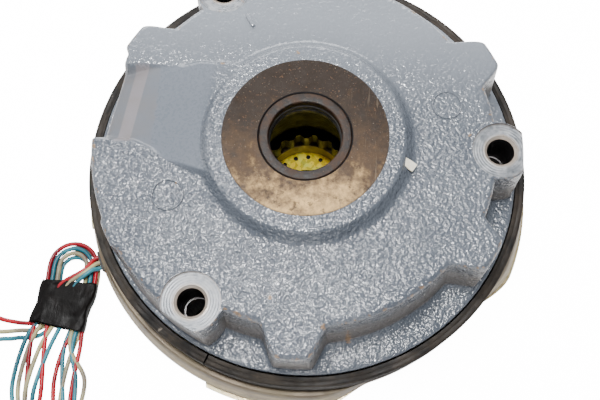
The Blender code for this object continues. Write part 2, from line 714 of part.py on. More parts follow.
def lead_tail(name, route, surface):
    """The free stretch of one lead, from the hank to its end, lying on the ground."""
    points = [Vector((x * MM, y * MM, TAIL_Z)) for x, y in route]
    curve = bpy.data.curves.new(name, "CURVE")
    curve.dimensions = "3D"
    curve.bevel_depth = LEAD_D / 2
    curve.bevel_resolution = 2
    curve.use_fill_caps = True
    path = through(points, TAIL_POINTS)
    line = curve.splines.new("POLY")
    line.points.add(len(path) - 1)
    for point, place in zip(line.points, path):
        point.co = (*place, 1)
    curve.materials.append(surface)
    obj = bpy.data.objects.new(name, curve)
    bpy.context.collection.objects.link(obj)


def build():
    cast = material("cast_paint", (0.39, 0.43, 0.47), 0.45)
    steel = material("brown_steel", (0.25, 0.20, 0.15), 0.5, 0.8)
    plate = material("machined_steel", (0.45, 0.45, 0.45), 0.35, 1.0)
    plated = material("yellow_plating", (0.75, 0.62, 0.15), 0.3, 0.9)
    aged = material("aged_plating", (0.42, 0.37, 0.27), 0.5, 0.5)
    rubber = material("black_rubber", (0.035, 0.03, 0.028), 0.6)
    alloy = material("rotor_alloy", (0.6, 0.6, 0.61), 0.4, 1.0)
    friction = material("friction_lining", (0.12, 0.10, 0.09), 0.85)
    copper = material("coil_wire", (0.62, 0.25, 0.1), 0.35, 1.0)
    fine_copper = material("boost_wire", (0.5, 0.2, 0.09), 0.4, 1.0)
    plastic = material("bobbin_plastic", (0.7, 0.66, 0.55), 0.5)
    resin = material("potting_resin", (0.05, 0.05, 0.06), 0.3)
    spring = material("spring_steel", (0.3, 0.3, 0.32), 0.35, 1.0)
    tape = material("black_tape", (0.02, 0.02, 0.022), 0.45)
    insulation = {
        "lead_red": material("red_insulation", (0.55, 0.03, 0.03), 0.35),
        "lead_white": material("white_insulation", (0.8, 0.76, 0.55), 0.35),
        "lead_blue": material("blue_insulation", (0.05, 0.3, 0.4), 0.35),
    }
    magnet_body(cast)
    shaft_seal(steel, rubber)
    coil_set(plastic, copper, fine_copper, resin)
    springs(spring)
    armature(plate)
    rotor(alloy, friction, plate)
    flange(aged)
    mounting_sheet(plated)
    guide_sleeves(plate)
    retaining_screws(plate)
    sealing_collar(rubber)
    lead_grommet(rubber)
    lead_hank(insulation["lead_red"])
    hank_tape(tape)
    for name, route in TAILS.items():
        lead_tail(name, route, insulation[name])


clear_scene()
CUTTER = material("cutter", (1, 0, 1), 0.5)
build()
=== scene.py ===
"""Looks for the spring-applied disc unit: cast body, seal, collar, flange, leads and their hank.

Metres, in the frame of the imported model: the shaft axis is Z, and a bolt hole lies on +X.
"""

import math

import bmesh
import bpy
from mathutils import Matrix, Vector, noise


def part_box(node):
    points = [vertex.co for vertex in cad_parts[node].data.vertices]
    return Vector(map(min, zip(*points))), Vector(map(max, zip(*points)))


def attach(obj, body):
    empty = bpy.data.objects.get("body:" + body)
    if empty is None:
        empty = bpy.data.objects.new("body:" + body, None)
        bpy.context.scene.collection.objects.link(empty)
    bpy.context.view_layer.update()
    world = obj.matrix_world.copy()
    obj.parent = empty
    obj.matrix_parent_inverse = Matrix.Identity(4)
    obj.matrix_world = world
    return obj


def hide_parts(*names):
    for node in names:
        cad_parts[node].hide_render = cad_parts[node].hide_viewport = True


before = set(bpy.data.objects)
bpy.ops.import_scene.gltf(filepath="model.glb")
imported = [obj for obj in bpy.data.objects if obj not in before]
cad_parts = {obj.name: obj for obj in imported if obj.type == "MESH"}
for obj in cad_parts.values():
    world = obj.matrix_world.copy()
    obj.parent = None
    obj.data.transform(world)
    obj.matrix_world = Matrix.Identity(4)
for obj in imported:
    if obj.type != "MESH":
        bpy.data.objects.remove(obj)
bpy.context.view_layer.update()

MM = 0.001
TURN = 2 * math.pi

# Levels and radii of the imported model
SHEET_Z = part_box("mounting_sheet")[1][2]
FLANGE_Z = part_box("friction_flange")[0][2]
FLANGE_TOP_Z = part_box("friction_flange")[1][2]
MAGNET_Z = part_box("magnet_body")[0][2]
HUB_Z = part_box("magnet_body")[1][2]
COLLAR_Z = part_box("sealing_collar")[0][2]
COLLAR_TOP_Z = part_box("sealing_collar")[1][2]
PLATEAU_Z = HUB_Z - 3.7 * MM
LEDGE_Z = MAGNET_Z + 5.1 * MM
BOSS_Z = PLATEAU_Z - 0.9 * MM
SEAT_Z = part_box("seal_case")[0][2] - 0.3 * MM
BOLT_R = 66.0 * MM
BOLT_HOLE_R = 4.6 * MM
BOLT_ANGLES = (0, 120, 240)
SCREW_R = 60 * MM
SCREW_HEAD_R = 5.1 * MM
SCREW_SHANK_R = 2.7 * MM
SCREW_ANGLES = (60, 180, 300)
SPRING_R = 62 * MM
LOBE_ANGLES = (-30, 30, 90, 150, 210, 270)
OUTLET_ANGLE = 205


# ---------------------------------------------------------------- camera and light

FLOOR_HALF = 2.5
FLOOR_SHADED_R = 78 * MM
FLOOR_GLOW = 0.22
FLOOR_SEEN = 14.0
TENT_GLOW = 0.22
TENT_SEEN = 4.0

# Name, place, what it faces, its two sides, and its power
LIGHTS = (
    ("overhead", (-0.06, 0.10, 0.80), (0, 0.01, 0.04), (0.34, 0.20), 2.2),
    ("lamp", (0.01, -0.03, 0.90), (0, 0.0, 0.02), (0.06, 0.06), 5.6),
    ("spark", (-0.16, 0.14, 0.85), (-0.03, -0.03, 0.05), (0.05, 0.05), 3.0),
    ("back", (-0.15, 0.85, 0.62), (0, 0, 0.03), (0.9, 0.4), 9.5),
    ("front", (0.05, -0.75, 0.42), (0, 0, 0.03), (0.6, 0.3), 2.4),
    ("left", (-0.75, 0.1, 0.42), (0, 0, 0.03), (0.3, 0.5), 1.5),
)


def add_camera():
    data = bpy.data.cameras.new("view")
    data.sensor_width = 36
    data.lens = 45.6
    data.clip_start = 0.01
    obj = bpy.data.objects.new("view", data)
    bpy.context.collection.objects.link(obj)
    right = Vector((0.99791, 0.06294, -0.01500))
    back = Vector((0.03363, -0.30640, 0.95131)).normalized()
    up = back.cross(right).normalized()
    right = up.cross(back)
    turn = Matrix((right, up, back)).transposed().to_4x4()
    obj.matrix_world = Matrix.Translation((0.00799, -0.09823, 0.28966)) @ turn
    bpy.context.scene.camera = obj


def add_light(name, place, target, size, power):
    data = bpy.data.lights.new(name, "AREA")
    data.shape = "RECTANGLE"
    data.size, data.size_y = size
    data.energy = power
    obj = bpy.data.objects.new(name, data)
    bpy.context.collection.objects.link(obj)
    aim = (Vector(target) - Vector(place)).to_track_quat("-Z", "Y")
    obj.matrix_world = Matrix.Translation(place) @ aim.to_matrix().to_4x4()


def add_stage():
    """A floor with a painted shadow under the disc, near-black so its drillings look deep, and a pale
    sky.
    """
    pale = Finish("pale_floor", 0.9)
    bright = pale.sum("GREATER_THAN", pale.radius(), FLOOR_SHADED_R)
    bright = pale.sum("MAXIMUM", bright, pale.made("NewGeometry", "Backfacing"))
    # painted shadow: the floor colour is near-black inside FLOOR_SHADED_R, under the disc, and pale
    # outside it
    pale.set("Base Color", pale.mix(bright, (0.02, 0.018, 0.016), (0.9, 0.9, 0.9)))
    direct = pale.made("LightPath", "Is Camera Ray")
    glow = pale.span(direct, 0.0, 1.0, FLOOR_GLOW, FLOOR_SEEN)
    pale.set("Emission Color", (1, 1, 1))
    pale.set("Emission Strength", pale.times(glow, bright))
    bm = bmesh.new()
    bmesh.ops.create_grid(bm, x_segments=1, y_segments=1, size=FLOOR_HALF)
    mesh = bpy.data.meshes.new("floor")
    bm.to_mesh(mesh)
    bm.free()
    mesh.materials.append(pale.material)
    floor = bpy.data.objects.new("floor", mesh)
    floor.location.z = -0.05 * MM
    bpy.context.collection.objects.link(floor)
    world = bpy.data.worlds.new("tent")
    sky = Nodes(world, "Background", "Generated")
    sky.set("Color", (0.95, 0.97, 1.0))
    rise = sky.span(sky.axis("Y"), -0.7, 0.8, TENT_GLOW * 0.22, TENT_GLOW * 1.5, "LINEAR")
    direct = sky.made("LightPath", "Is Camera Ray")
    sky.set("Strength", sky.plus(sky.times(direct, TENT_SEEN), rise))
    bpy.context.scene.world = world
    for light in LIGHTS:
        add_light(*light)


# ---------------------------------------------------------------- finishes

class Nodes:
    """A node tree, with short calls for the nodes that the finishes and the sky share."""

    def __init__(self, owner, shader, coordinates):
        owner.use_nodes = True
        self.tree = owner.node_tree
        self.shader = self.tree.nodes[shader]
        self.here = self.made("TexCoord", coordinates)

    def put(self, socket, value):
        if isinstance(value, bpy.types.NodeSocket):
            self.tree.links.new(value, socket)
        elif isinstance(value, tuple) and len(value) == 3 and socket.type == "RGBA":
            socket.default_value = (*value, 1)
        else:
            socket.default_value = value

    def set(self, name, value):
        self.put(self.shader.inputs[name], value)

    def made(self, kind, output, inputs=None, **settings):
        """A new node with those settings and inputs. The result is one of its outputs."""
        node = self.tree.nodes.new("ShaderNode" + kind)
        for key, value in settings.items():
            setattr(node, key, value)
        for key, value in (inputs or {}).items():
            self.put(node.inputs[key], value)
        return node.outputs[output]

    def sum(self, kind, a, b=0.5, clamp=False):
        return self.made("Math", 0, {0: a, 1: b}, operation=kind, use_clamp=clamp)

    def plus(self, a, b, clamp=False):
        return self.sum("ADD", a, b, clamp)

    def minus(self, a, b):
        return self.sum("SUBTRACT", a, b)

    def times(self, a, b):
        return self.sum("MULTIPLY", a, b)

    def span(self, value, low, high, to_low=0.0, to_high=1.0, kind="SMOOTHSTEP"):
        """value mapped from one range to another, and held at its ends."""
        ends = {"Value": value, "From Min": low, "From Max": high, "To Min": to_low, "To Max": to_high}
        return self.made("MapRange", "Result", ends, interpolation_type=kind)

    def mix(self, share, a, b, kind="MIX"):
        return self.made("Mix", "Result", {"Factor": share, "A": a, "B": b},
                         data_type="RGBA", blend_type=kind)

    def axis(self, which):
        return self.made("SeparateXYZ", which, {0: self.here})

    def radius(self, x=0.0, y=0.0):
        """The distance from an upright line through (x, y)."""
        dx = self.minus(self.axis("X"), x)
        dy = self.minus(self.axis("Y"), y)
        return self.sum("SQRT", self.plus(self.times(dx, dx), self.times(dy, dy)))


class Finish(Nodes):
    """A new material, with marks that are sized in millimetres."""

    def __init__(self, name, roughness=0.5, metallic=0.0):
        self.material = bpy.data.materials.new(name)
        super().__init__(self.material, "Principled BSDF", "Object")
        self.set("Metallic", metallic)
        self.set("Roughness", roughness)

    def noise(self, size, detail=3.0, rough=0.5, where=None, warp=0.0):
        """Noise with features of about that size, from 0 to 1."""
        return self.made("TexNoise", "Fac", {
            "Scale": 1 / (size * MM), "Detail": detail, "Roughness": rough, "Distortion": warp,
            "Vector": where or self.here})

    def stretched(self, scale, turn=(0, 0, 0)):
        return self.made("Mapping", "Vector", {"Vector": self.here, "Scale": scale, "Rotation": turn})

    def painted(self, name):
        """A number that the piece carries at each of its points."""
        return self.made("Attribute", "Fac", attribute_name=name)

    def around(self):
        """(radius, angle, height) as a vector, for marks that run round the shaft axis."""
        angle = self.sum("ARCTAN2", self.axis("Y"), self.axis("X"))
        return self.made("CombineXYZ", 0, {0: self.radius(), 1: angle, 2: self.axis("Z")})

    def bump(self, height, depth, strength=1.0):
        return self.made("Bump", "Normal", {"Distance": depth * MM, "Strength": strength,
                                            "Height": height})

    def done(self, base, rough, height, depth, shine=0.5):
        """Sets the colour, roughness, relief and shine, and gives back the material."""
        self.set("Base Color", base)
        self.set("Roughness", rough)
        self.set("Specular IOR Level", shine)
        self.set("Normal", self.bump(height, depth))
        return self.material


RUST_SPOTS = ((-7.9, -54.3, 1.6), (-4.4, 30.7, 1.5), (-30.1, 26.1, 1.7), (18.2, -63.2, 2.2),
              (9.4, -62.6, 1.8), (61.5, -22.6, 1.6), (-71.5, -6.5, 1.6), (60.4, 22.6, 2.0),
              (55.3, 4.9, 1.2), (-65.0, 27.4, 0.8), (-42.0, -18.0, 0.6), (26.8, -7.5, 1.2))


def cast_paint():
    """Blue-grey paint over a rough casting, with grime low down and rust where it is chipped."""
    f = Finish("cast_paint")
    grain = f.noise(1.35, 1.2, 0.4)
    fine = f.noise(0.8, 1.0, 0.4)
    lumps = f.noise(3.8, 1.0, 0.5)
    milled = f.painted("milled")
    low = f.painted("low")
    edge = f.painted("edge")
    rough = f.minus(1.0, f.times(milled, 0.95))
    rough = f.times(rough, f.span(f.axis("Y"), 5 * MM, 42 * MM, 1.0, 0.30))
    relief = f.plus(grain, f.times(fine, 0.4))
    relief = f.plus(relief, f.times(lumps, 0.7))
    cloud = f.noise(16, 4.0, 0.55)
    base = f.mix(f.span(cloud, 0.3, 0.7), (0.094, 0.108, 0.131), (0.118, 0.133, 0.156))
    # painted shade: the paint is made darker in the hollows of the grain relief
    base = f.mix(f.span(grain, 0.36, 0.60), f.mix(1.0, base, (0.88, 0.88, 0.89), "MULTIPLY"), base)
    # painted light: the paint is made much lighter towards +Y, where the light from above and behind
    # falls on the plateau
    base = f.mix(f.span(f.axis("Y"), 6 * MM, 52 * MM, 0.0, 0.8), base, (0.290, 0.315, 0.350))
    base = f.mix(f.times(milled, 0.8), base, (0.150, 0.170, 0.202))
    step = f.minus(f.axis("X"), f.times(f.axis("Y"), STRIPE_LEAN))
    stripe = f.times(f.span(step, (STRIPE_RIGHT + 0.2) * MM, (STRIPE_RIGHT - 0.2) * MM),
                   f.span(step, (STRIPE_LEFT - 0.3) * MM, (STRIPE_LEFT + 0.3) * MM))
    base = f.mix(f.times(stripe, milled), base, (0.235, 0.225, 0.245))
    grime = f.span(f.plus(low, f.times(f.noise(7, 4.0), 0.5)), 0.45, 1.05)
    base = f.mix(f.times(grime, 0.6), base, (0.155, 0.120, 0.088))
    chips = f.span(f.plus(f.times(edge, 0.40), f.noise(2.4, 5.0, 0.65)), 0.94, 1.02)
    for x, y, size in RUST_SPOTS:
        away = f.radius(x * MM, y * MM)
        ragged = f.plus(away, f.times(f.noise(0.9, 4.0, 0.7), 1.8 * size * MM))
        chips = f.sum("MAXIMUM", chips, f.span(ragged, 1.45 * size * MM, 1.25 * size * MM))
    rust = f.mix(f.noise(0.8, 4.0), (0.10, 0.055, 0.03), (0.42, 0.26, 0.13))
    base = f.mix(f.times(chips, 0.8), base, rust)
    freckles = f.span(f.noise(1.0, 5.0, 0.75), 0.70, 0.76)
    base = f.mix(f.times(freckles, 0.35), base, (0.16, 0.12, 0.09))
    gloss = f.span(f.noise(1.1, 3.0), 0.3, 0.75, 0.12, 0.24)
    gloss = f.plus(gloss, f.times(milled, 0.12))
    gloss = f.plus(gloss, f.times(f.plus(chips, grime), 0.2), clamp=True)
    normal = f.bump(relief, 0.58, rough)
    for socket, value in (("Base Color", base), ("Roughness", gloss), ("Coat Weight", 0.4),
                          ("Coat Roughness", 0.16), ("Normal", normal), ("Coat Normal", normal)):
        f.set(socket, value)
    return f.material


def spot_face():
    """A spot-faced boss: turned rings, painted over thinly, bare and tan round the hole."""
    f = Finish("spot_face", 0.4, 0.25)
    near = f.sum("MINIMUM", f.radius(BOLT_R), 1.0)
    for angle in BOLT_ANGLES[1:]:
        turn = math.radians(angle)
        near = f.sum("MINIMUM", near, f.radius(BOLT_R * math.cos(turn), BOLT_R * math.sin(turn)))
    rings = f.sum("SINE", f.times(near, TURN / (0.9 * MM)))
    cloud = f.noise(3.0, 5.0, 0.6)
    wear = f.plus(f.times(cloud, 2.2 * MM), near)
    base = f.mix(f.span(cloud, 0.35, 0.7), (0.150, 0.163, 0.180), (0.33, 0.34, 0.355))
    base = f.mix(f.span(wear, 7.6 * MM, 6.4 * MM, 0.0, 0.75), base, (0.40, 0.33, 0.26))
    base = f.mix(f.span(wear, 6.3 * MM, 5.7 * MM, 0.0, 0.7), base, (0.30, 0.25, 0.21))
    # painted shade: the spot face is darker at its outer edge next to the step, and on the step's wall
    base = f.mix(f.span(near, 9.2 * MM, 9.8 * MM, 0.0, 0.7), base, (0.19, 0.16, 0.14))
    rust = f.span(f.noise(2.0, 5.0, 0.7), 0.62, 0.70, 0.0, 0.6)
    base = f.mix(rust, base, (0.26, 0.15, 0.09))
    relief = f.plus(f.times(rings, 0.5), f.times(f.noise(0.8), 0.9))
    return f.done(base, f.span(cloud, 0.3, 0.7, 0.26, 0.46), relief, 0.05)


def hole_wall():
    """The unpainted wall of a drilled hole, near-black as painted shade deep in the hole."""
    f = Finish("hole_wall", 0.6)
    rings = f.noise(0.5, 3.0, 0.6, f.stretched((0.2, 0.2, 1.0)))
    # painted shade: near-black tones stand in for the shade inside the holes
    base = f.mix(rings, (0.003, 0.0025, 0.003), (0.014, 0.012, 0.013))
    return f.done(base, f.span(rings, 0.3, 0.7, 0.45, 0.7), rings, 0.12, 0.25)


def aged_ring():
    """The turned ring in the hub face: browned steel with stains, fine turning and scratches."""
    f = Finish("aged_ring", 0.5, 0.0)
    large = f.noise(17, 5.0, 0.6, warp=0.6)
    middle = f.noise(5, 5.0, 0.65)
    speck = f.noise(0.9, 4.0, 0.7)
    # painted light: the tone rises towards -Y and a little towards +X, so the ring turns lighter and tan
    # on that side and darker on the far side, as the light falls
    lean = f.plus(f.times(f.axis("Y"), -18.0), f.times(f.axis("X"), 2.0))
    tone = f.plus(f.times(large, 0.6), f.times(middle, 0.75))
    tone = f.plus(tone, f.times(f.noise(1.5, 4.0, 0.7), 0.35))
    tone = f.plus(tone, lean)
    base = f.mix(f.span(tone, 0.60, 1.15), (0.020, 0.0115, 0.0065), (0.080, 0.047, 0.024))
    base = f.mix(f.span(tone, 1.02, 1.50, 0.0, 1.0), base, (0.74, 0.48, 0.21))
    blots = f.span(f.noise(3.2, 5.0, 0.7), 0.55, 0.66, 0.0, 0.75)
    base = f.mix(blots, base, (0.026, 0.018, 0.013))
    base = f.mix(f.span(speck, 0.60, 0.68, 0.0, 0.75), base, (0.14, 0.070, 0.034))
    base = f.mix(f.span(f.noise(0.6, 3.0, 0.6), 0.66, 0.72, 0.0, 0.6), base, (0.34, 0.28, 0.21))
    rim = f.span(f.radius(), 27.4 * MM, 28.1 * MM, 0.0, 0.75)
    base = f.mix(rim, base, (0.030, 0.021, 0.016))
    slanted = f.stretched((1.0, 0.09, 1.0), (0, 0, math.radians(34)))
    scratch = f.noise(1.1, 4.0, 0.65, slanted, warp=0.4)
    side = f.span(f.plus(f.axis("X"), f.times(f.axis("Y"), -0.6)), 0.0, 0.02)
    scratched = f.times(f.span(scratch, 0.60, 0.66), side)
    base = f.mix(f.times(scratched, 0.35), base, (0.20, 0.15, 0.10))
    turning = f.noise(0.30, 2.0, 0.5, f.around())
    relief = f.plus(f.times(turning, 0.5), f.times(speck, 0.9))
    relief = f.minus(relief, f.times(scratched, 0.6))
    return f.done(base, f.span(middle, 0.3, 0.7, 0.36, 0.62), relief, 0.07, 0.2)


def seal_steel():
    """The pressed rim of the seal: rust-brown with a darker lip."""
    f = Finish("seal_steel", 0.5, 0.0)
    patch = f.noise(3, 5.0, 0.65)
    base = f.mix(f.span(patch, 0.35, 0.68), (0.006, 0.0032, 0.0018), (0.042, 0.021, 0.011))
    base = f.mix(f.span(f.noise(0.8, 4.0, 0.7), 0.6, 0.7, 0.0, 0.6), base, (0.15, 0.085, 0.045))
    return f.done(base, f.span(patch, 0.3, 0.7, 0.4, 0.65), f.noise(0.7, 4.0), 0.12, 0.3)


def bare_steel(name, dark, light, rough, metal=0.85):
    """Turned or ground steel with a little oil: fine marks run round the shaft axis."""
    f = Finish(name, rough, metal)
    marks = f.noise(0.35, 3.0, 0.6, f.around())
    patch = f.noise(6, 4.0, 0.6)
    base = f.mix(f.span(f.plus(marks, patch), 0.7, 1.3), dark, light)
    return f.done(base, f.span(patch, 0.3, 0.7, rough - 0.08, rough + 0.14), marks, 0.05)


def collar_rubber():
    """Black-brown rubber, dusty, with fine lines round it and scuffs."""
    f = Finish("collar_rubber", 0.62)
    lines = f.noise(0.7, 4.0, 0.65, f.stretched((0.06, 0.06, 1.6)))
    dust = f.noise(6, 5.0, 0.6, f.stretched((0.5, 0.5, 1.5)))
    base = f.mix(f.span(lines, 0.35, 0.68), (0.004, 0.0032, 0.0026), (0.036, 0.028, 0.021))
    base = f.mix(f.span(dust, 0.54, 0.75, 0.0, 0.4), base, (0.085, 0.066, 0.050))
    scuff = f.span(f.noise(1.1, 5.0, 0.7, f.stretched((0.25, 0.25, 1.0))), 0.66, 0.74, 0.0, 0.7)
    base = f.mix(scuff, base, (0.26, 0.22, 0.18))
    return f.done(base, f.span(dust, 0.3, 0.7, 0.45, 0.75),
                  f.plus(lines, f.times(dust, 0.4)), 0.18, 0.25)


def black_rubber():
    f = Finish("black_rubber", 0.55)
    patch = f.noise(2, 4.0, 0.6)
    base = f.mix(patch, (0.010, 0.009, 0.009), (0.035, 0.031, 0.028))
    return f.done(base, f.span(patch, 0.3, 0.7, 0.4, 0.7),
                  f.noise(0.5), 0.05)


def aged_plating():
    """The flange: tan plating gone dull, with dirt streaks round its rim."""
    f = Finish("aged_plating", 0.5, 0.45)
    streak = f.noise(3.2, 5.0, 0.65, f.stretched((0.3, 0.3, 1.3)))
    patch = f.noise(14, 4.0, 0.6)
    base = f.mix(f.span(streak, 0.35, 0.7), (0.22, 0.165, 0.095), (0.48, 0.395, 0.245))
    base = f.mix(f.span(patch, 0.5, 0.66, 0.0, 0.7), base, (0.12, 0.088, 0.055))
    high = f.span(f.axis("Z"), 10.6 * MM, 12.2 * MM, 0.0, 0.62)
    base = f.mix(high, base, (0.085, 0.068, 0.052))
    spots = f.span(f.noise(1.2, 5.0, 0.7), 0.63, 0.72, 0.0, 0.7)
    base = f.mix(spots, base, (0.10, 0.075, 0.055))
    return f.done(base, f.span(streak, 0.3, 0.7, 0.34, 0.6), f.plus(streak, f.noise(0.6)), 0.10)


def yellow_plating():
    """Bright yellow chromate with its green and pink cast."""
    f = Finish("yellow_plating", 0.26, 0.35)
    cast = f.noise(9, 3.0, 0.5, warp=0.8)
    base = f.mix(f.span(cast, 0.35, 0.55), (0.85, 0.56, 0.006), (0.90, 0.72, 0.03))
    base = f.mix(f.span(cast, 0.5, 0.66, 0.0, 0.6), base, (0.50, 0.66, 0.12))
    base = f.mix(f.span(f.noise(1.2, 4.0, 0.7), 0.6, 0.7, 0.0, 0.55), base, (0.25, 0.17, 0.05))
    outer = f.span(f.radius(), 40 * MM, 80 * MM, 0.0, 0.85)
    base = f.mix(outer, base, (0.36, 0.30, 0.22))
    return f.done(base, f.span(f.noise(2), 0.3, 0.7, 0.18, 0.4), f.noise(0.7), 0.04)


def insulation(name, colour, deep, stain):
    """Glossy lead insulation, a little uneven, with grime and a handling shine."""
    f = Finish(name, 0.26)
    run = f.noise(11, 3.0, 0.5)
    dirt = f.noise(2.2, 5.0, 0.65)
    base = f.mix(f.span(run, 0.35, 0.65), deep, colour)
    base = f.mix(f.span(dirt, 0.56, 0.72, 0.0, 0.5), base, stain)
    return f.done(base, f.span(dirt, 0.3, 0.7, 0.24, 0.42), f.noise(1.4), 0.05, 0.3)


def tape_finish():
    """Black electrical tape: satin, with fine creases and a faint grey bloom in patches."""
    f = Finish("black_tape", 0.5)
    crease = f.noise(2.6, 4.0, 0.6, f.stretched((1.0, 0.35, 1.0), (0, 0, math.radians(14))))
    bloom = f.noise(7, 4.0, 0.6)
    base = f.mix(f.span(bloom, 0.45, 0.7), (0.0014, 0.0009, 0.0008), (0.0035, 0.0022, 0.0019))
    return f.done(base, f.span(crease, 0.3, 0.7, 0.34, 0.6),
                  f.plus(crease, f.times(f.noise(0.5), 0.2)), 0.22, 0.12)


def plain_finish(name, colour, other, rough, metallic, grain=2):
    """For the pieces sealed inside: two close tones, worn unevenly, with a fine relief."""
    f = Finish(name, rough, metallic)
    patch = f.noise(grain, 4.0, 0.6)
    return f.done(f.mix(f.span(patch, 0.3, 0.7), colour, other),
                  f.span(patch, 0.3, 0.7, rough - 0.08, rough + 0.1), f.noise(grain / 4), grain / 40)


# ---------------------------------------------------------------- making pieces

def polar(radius, degrees, z=0.0):
    turn = math.radians(degrees)
    return Vector((radius * math.cos(turn), radius * math.sin(turn), z))


def about(co):
    """The distance of a point from the shaft axis, and its angle in degrees."""
    return math.hypot(co.x, co.y), math.degrees(math.atan2(co.y, co.x))


def drawn_to(v, radius, new):
    """Moves a point from one distance from the shaft axis to another."""
    v.co.x *= new / radius
    v.co.y *= new / radius


def smooth_step(low, high, value):
    share = min(1, max(0, (value - low) / (high - low)))
    return share * share * (3 - 2 * share)


def off_centre(degrees, centre):
    return (degrees - centre + 180) % 360 - 180


def spun(profile, steps=240, start=0.0, sweep=360.0, closed=True):
    """A turned body from a profile of (radius, z). An open profile ends on the axis or in a disc."""
    bm = bmesh.new()
    line = [bm.verts.new(polar(r, start, z)) for r, z in profile]
    pairs = list(zip(line, line[1:]))
    if closed:
        pairs.append((line[-1], line[0]))
    edges = [bm.edges.new(pair) for pair in pairs]
    full = sweep == 360.0
    bmesh.ops.spin(bm, geom=line + edges, cent=(0, 0, 0), axis=(0, 0, 1), dvec=(0, 0, 0),
                   angle=math.radians(sweep), steps=steps, use_merge=full, use_duplicate=False)
    bmesh.ops.remove_doubles(bm, verts=bm.verts, dist=1e-7)
    return bm


def object_of(name, bm, finishes):
    bmesh.ops.recalc_face_normals(bm, faces=bm.faces)
    mesh = bpy.data.meshes.new(name)
    bm.to_mesh(mesh)
    bm.free()
    for finish in finishes:
        mesh.materials.append(finish)
    obj = bpy.data.objects.new(name, mesh)
    bpy.context.collection.objects.link(obj)
    return obj


def finished(obj, stands_for=(), sharp=32, body="housing"):
    """Shades the piece, puts it on its body, and hides the CAD nodes that it stands for."""
    if obj.type == "MESH":
        obj.data.shade_smooth()
        obj.data.set_sharp_from_angle(angle=math.radians(sharp))
    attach(obj, body)
    if stands_for:
        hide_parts(*stands_for)
    return obj


def drilled(obj, shapes):
    """Cuts the shapes out of the piece, bakes the result, and removes them."""
    cutter = group_of("cutters", shapes, list(obj.data.materials))
    bore = obj.modifiers.new("bore", "BOOLEAN")
    bore.operation = "DIFFERENCE"
    bore.solver = "EXACT"
    bore.object = cutter
    graph = bpy.context.evaluated_depsgraph_get()
    mesh = bpy.data.meshes.new_from_object(obj.evaluated_get(graph))
    obj.modifiers.clear()
    old = obj.data
    obj.data = mesh
    mesh.name = obj.name
    bpy.data.meshes.remove(old)
    bpy.data.meshes.remove(cutter.data)


def group_of(name, shapes, finishes):
    """One object from several bmeshes that don't touch."""
    whole = bmesh.new()
    for bm in shapes:
        part = bpy.data.meshes.new("part")
        bm.to_mesh(part)
        bm.free()
        whole.from_mesh(part)
        bpy.data.meshes.remove(part)
    return object_of(name, whole, finishes)


def placed(bm, offset):
    bmesh.ops.translate(bm, verts=bm.verts, vec=offset)
    return bm


def faced(bm, index):
    for face in bm.faces:
        face.material_index = index
    return bm


def pin(radius, low, high, steps=48):
    return spun([(0, low), (radius, low), (radius, high), (0, high)], steps, closed=False)


def arc(centre, radius, start, stop, count):
    """Points on a round in a profile, from one angle to another, in degrees."""
    made = []
    for i in range(count + 1):
        turn = math.radians(start + (stop - start) * i / count)
        made.append((centre[0] + radius * math.cos(turn), centre[1] + radius * math.sin(turn)))
    return made


def ruled(start, stop, count):
    """Points between two profile points, without the first."""
    (x, z), (x_end, z_end) = start, stop
    return [(x + (x_end - x) * i / count, z + (z_end - z) * i / count) for i in range(1, count + 1)]


# ---------------------------------------------------------------- leads

LEAD_D = 1.7 * MM
LAYERS = (0.9 * MM, 2.62 * MM, 4.35 * MM)
HANK_LINE = ((-88.0, -38.0), (-88.2, -46.0), (-90.8, -61.5), (-92.4, -74.0), (-90.8, -88.0),
             (-89.5, -104.0))
TAPE_SPAN = (6.4 * MM, 24.0 * MM)
TAPE_POWER = 0.42
TAPE_RING, TAPE_ROWS = 72, 26
FOLD_RADII = {"inner": 5.3, "middle": 7.2, "outer": 9.1}
TAILS = {
    "lead_red": ((-104.4, -60.6), (-108.6, -60.3), (-113.0, -59.6), (-118.5, -57.9), (-125.0, -56.2),
                 (-131.5, -56.6)),
    "lead_white": ((-104.7, -63.4), (-108.4, -63.9), (-112.4, -64.4), (-117.6, -64.2),
                   (-123.4, -62.6), (-129.0, -61.9)),
    "lead_blue": ((-105.1, -66.2), (-108.2, -66.8), (-111.8, -67.1), (-117.0, -68.1),
                  (-123.5, -69.3), (-130.4, -68.0)),
}


def curve_through(points, step=0.9 * MM):
    """Evenly spread points on a smooth curve through the given ones."""
    ends = [points[0] * 2 - points[1], *points, points[-1] * 2 - points[-2]]
    fine = []
    for a, b, c, d in zip(ends, ends[1:], ends[2:], ends[3:]):
        for i in range(24):
            t = i / 24
            fine.append(0.5 * (2 * b + (c - a) * t + (2 * a - 5 * b + 4 * c - d) * t * t
                               + (3 * b - a - 3 * c + d) * t ** 3))
    fine.append(points[-1])
    run = [0.0]
    for one, other in zip(fine, fine[1:]):
        run.append(run[-1] + (other - one).length)
    count = max(2, round(run[-1] / step))
    made, at = [], 0
    for k in range(count + 1):
        goal = run[-1] * k / count
        while at < len(run) - 2 and run[at + 1] < goal:
            at += 1
        share = (goal - run[at]) / max(1e-12, run[at + 1] - run[at])
        made.append(fine[at].lerp(fine[at + 1], share))
    return made, run[-1]


def hank_place(along, across, height):
    """A point of the hank: along its middle line, across it to the right, and up. Millimetres."""
    line = [Vector((x, y, 0)) for x, y in HANK_LINE]
    left = along
    for one, other in zip(line, line[1:]):
        leg = (other - one).length
        if left <= leg or other is line[-1]:
            break
        left -= leg
    direction = (other - one) / leg
    place = one + direction * left
    side = Vector((-direction.y, direction.x, 0))
    return (place + side * across + Vector((0, 0, height / MM))) * MM


HANK_END = sum((Vector(b) - Vector(a)).length for a, b in zip(HANK_LINE, HANK_LINE[1:]))


def fold(centre, across, radius, height, bottom, steps=6):
    """The half turn of a run at an end of the hank, from its left side to its right."""
    made = []
    for i in range(steps + 1):
        turn = math.pi * i / steps
        depth = radius * math.sin(turn) * (1 if bottom else -1)
        made.append(hank_place(centre + depth, across - radius * math.cos(turn), height))
    return made


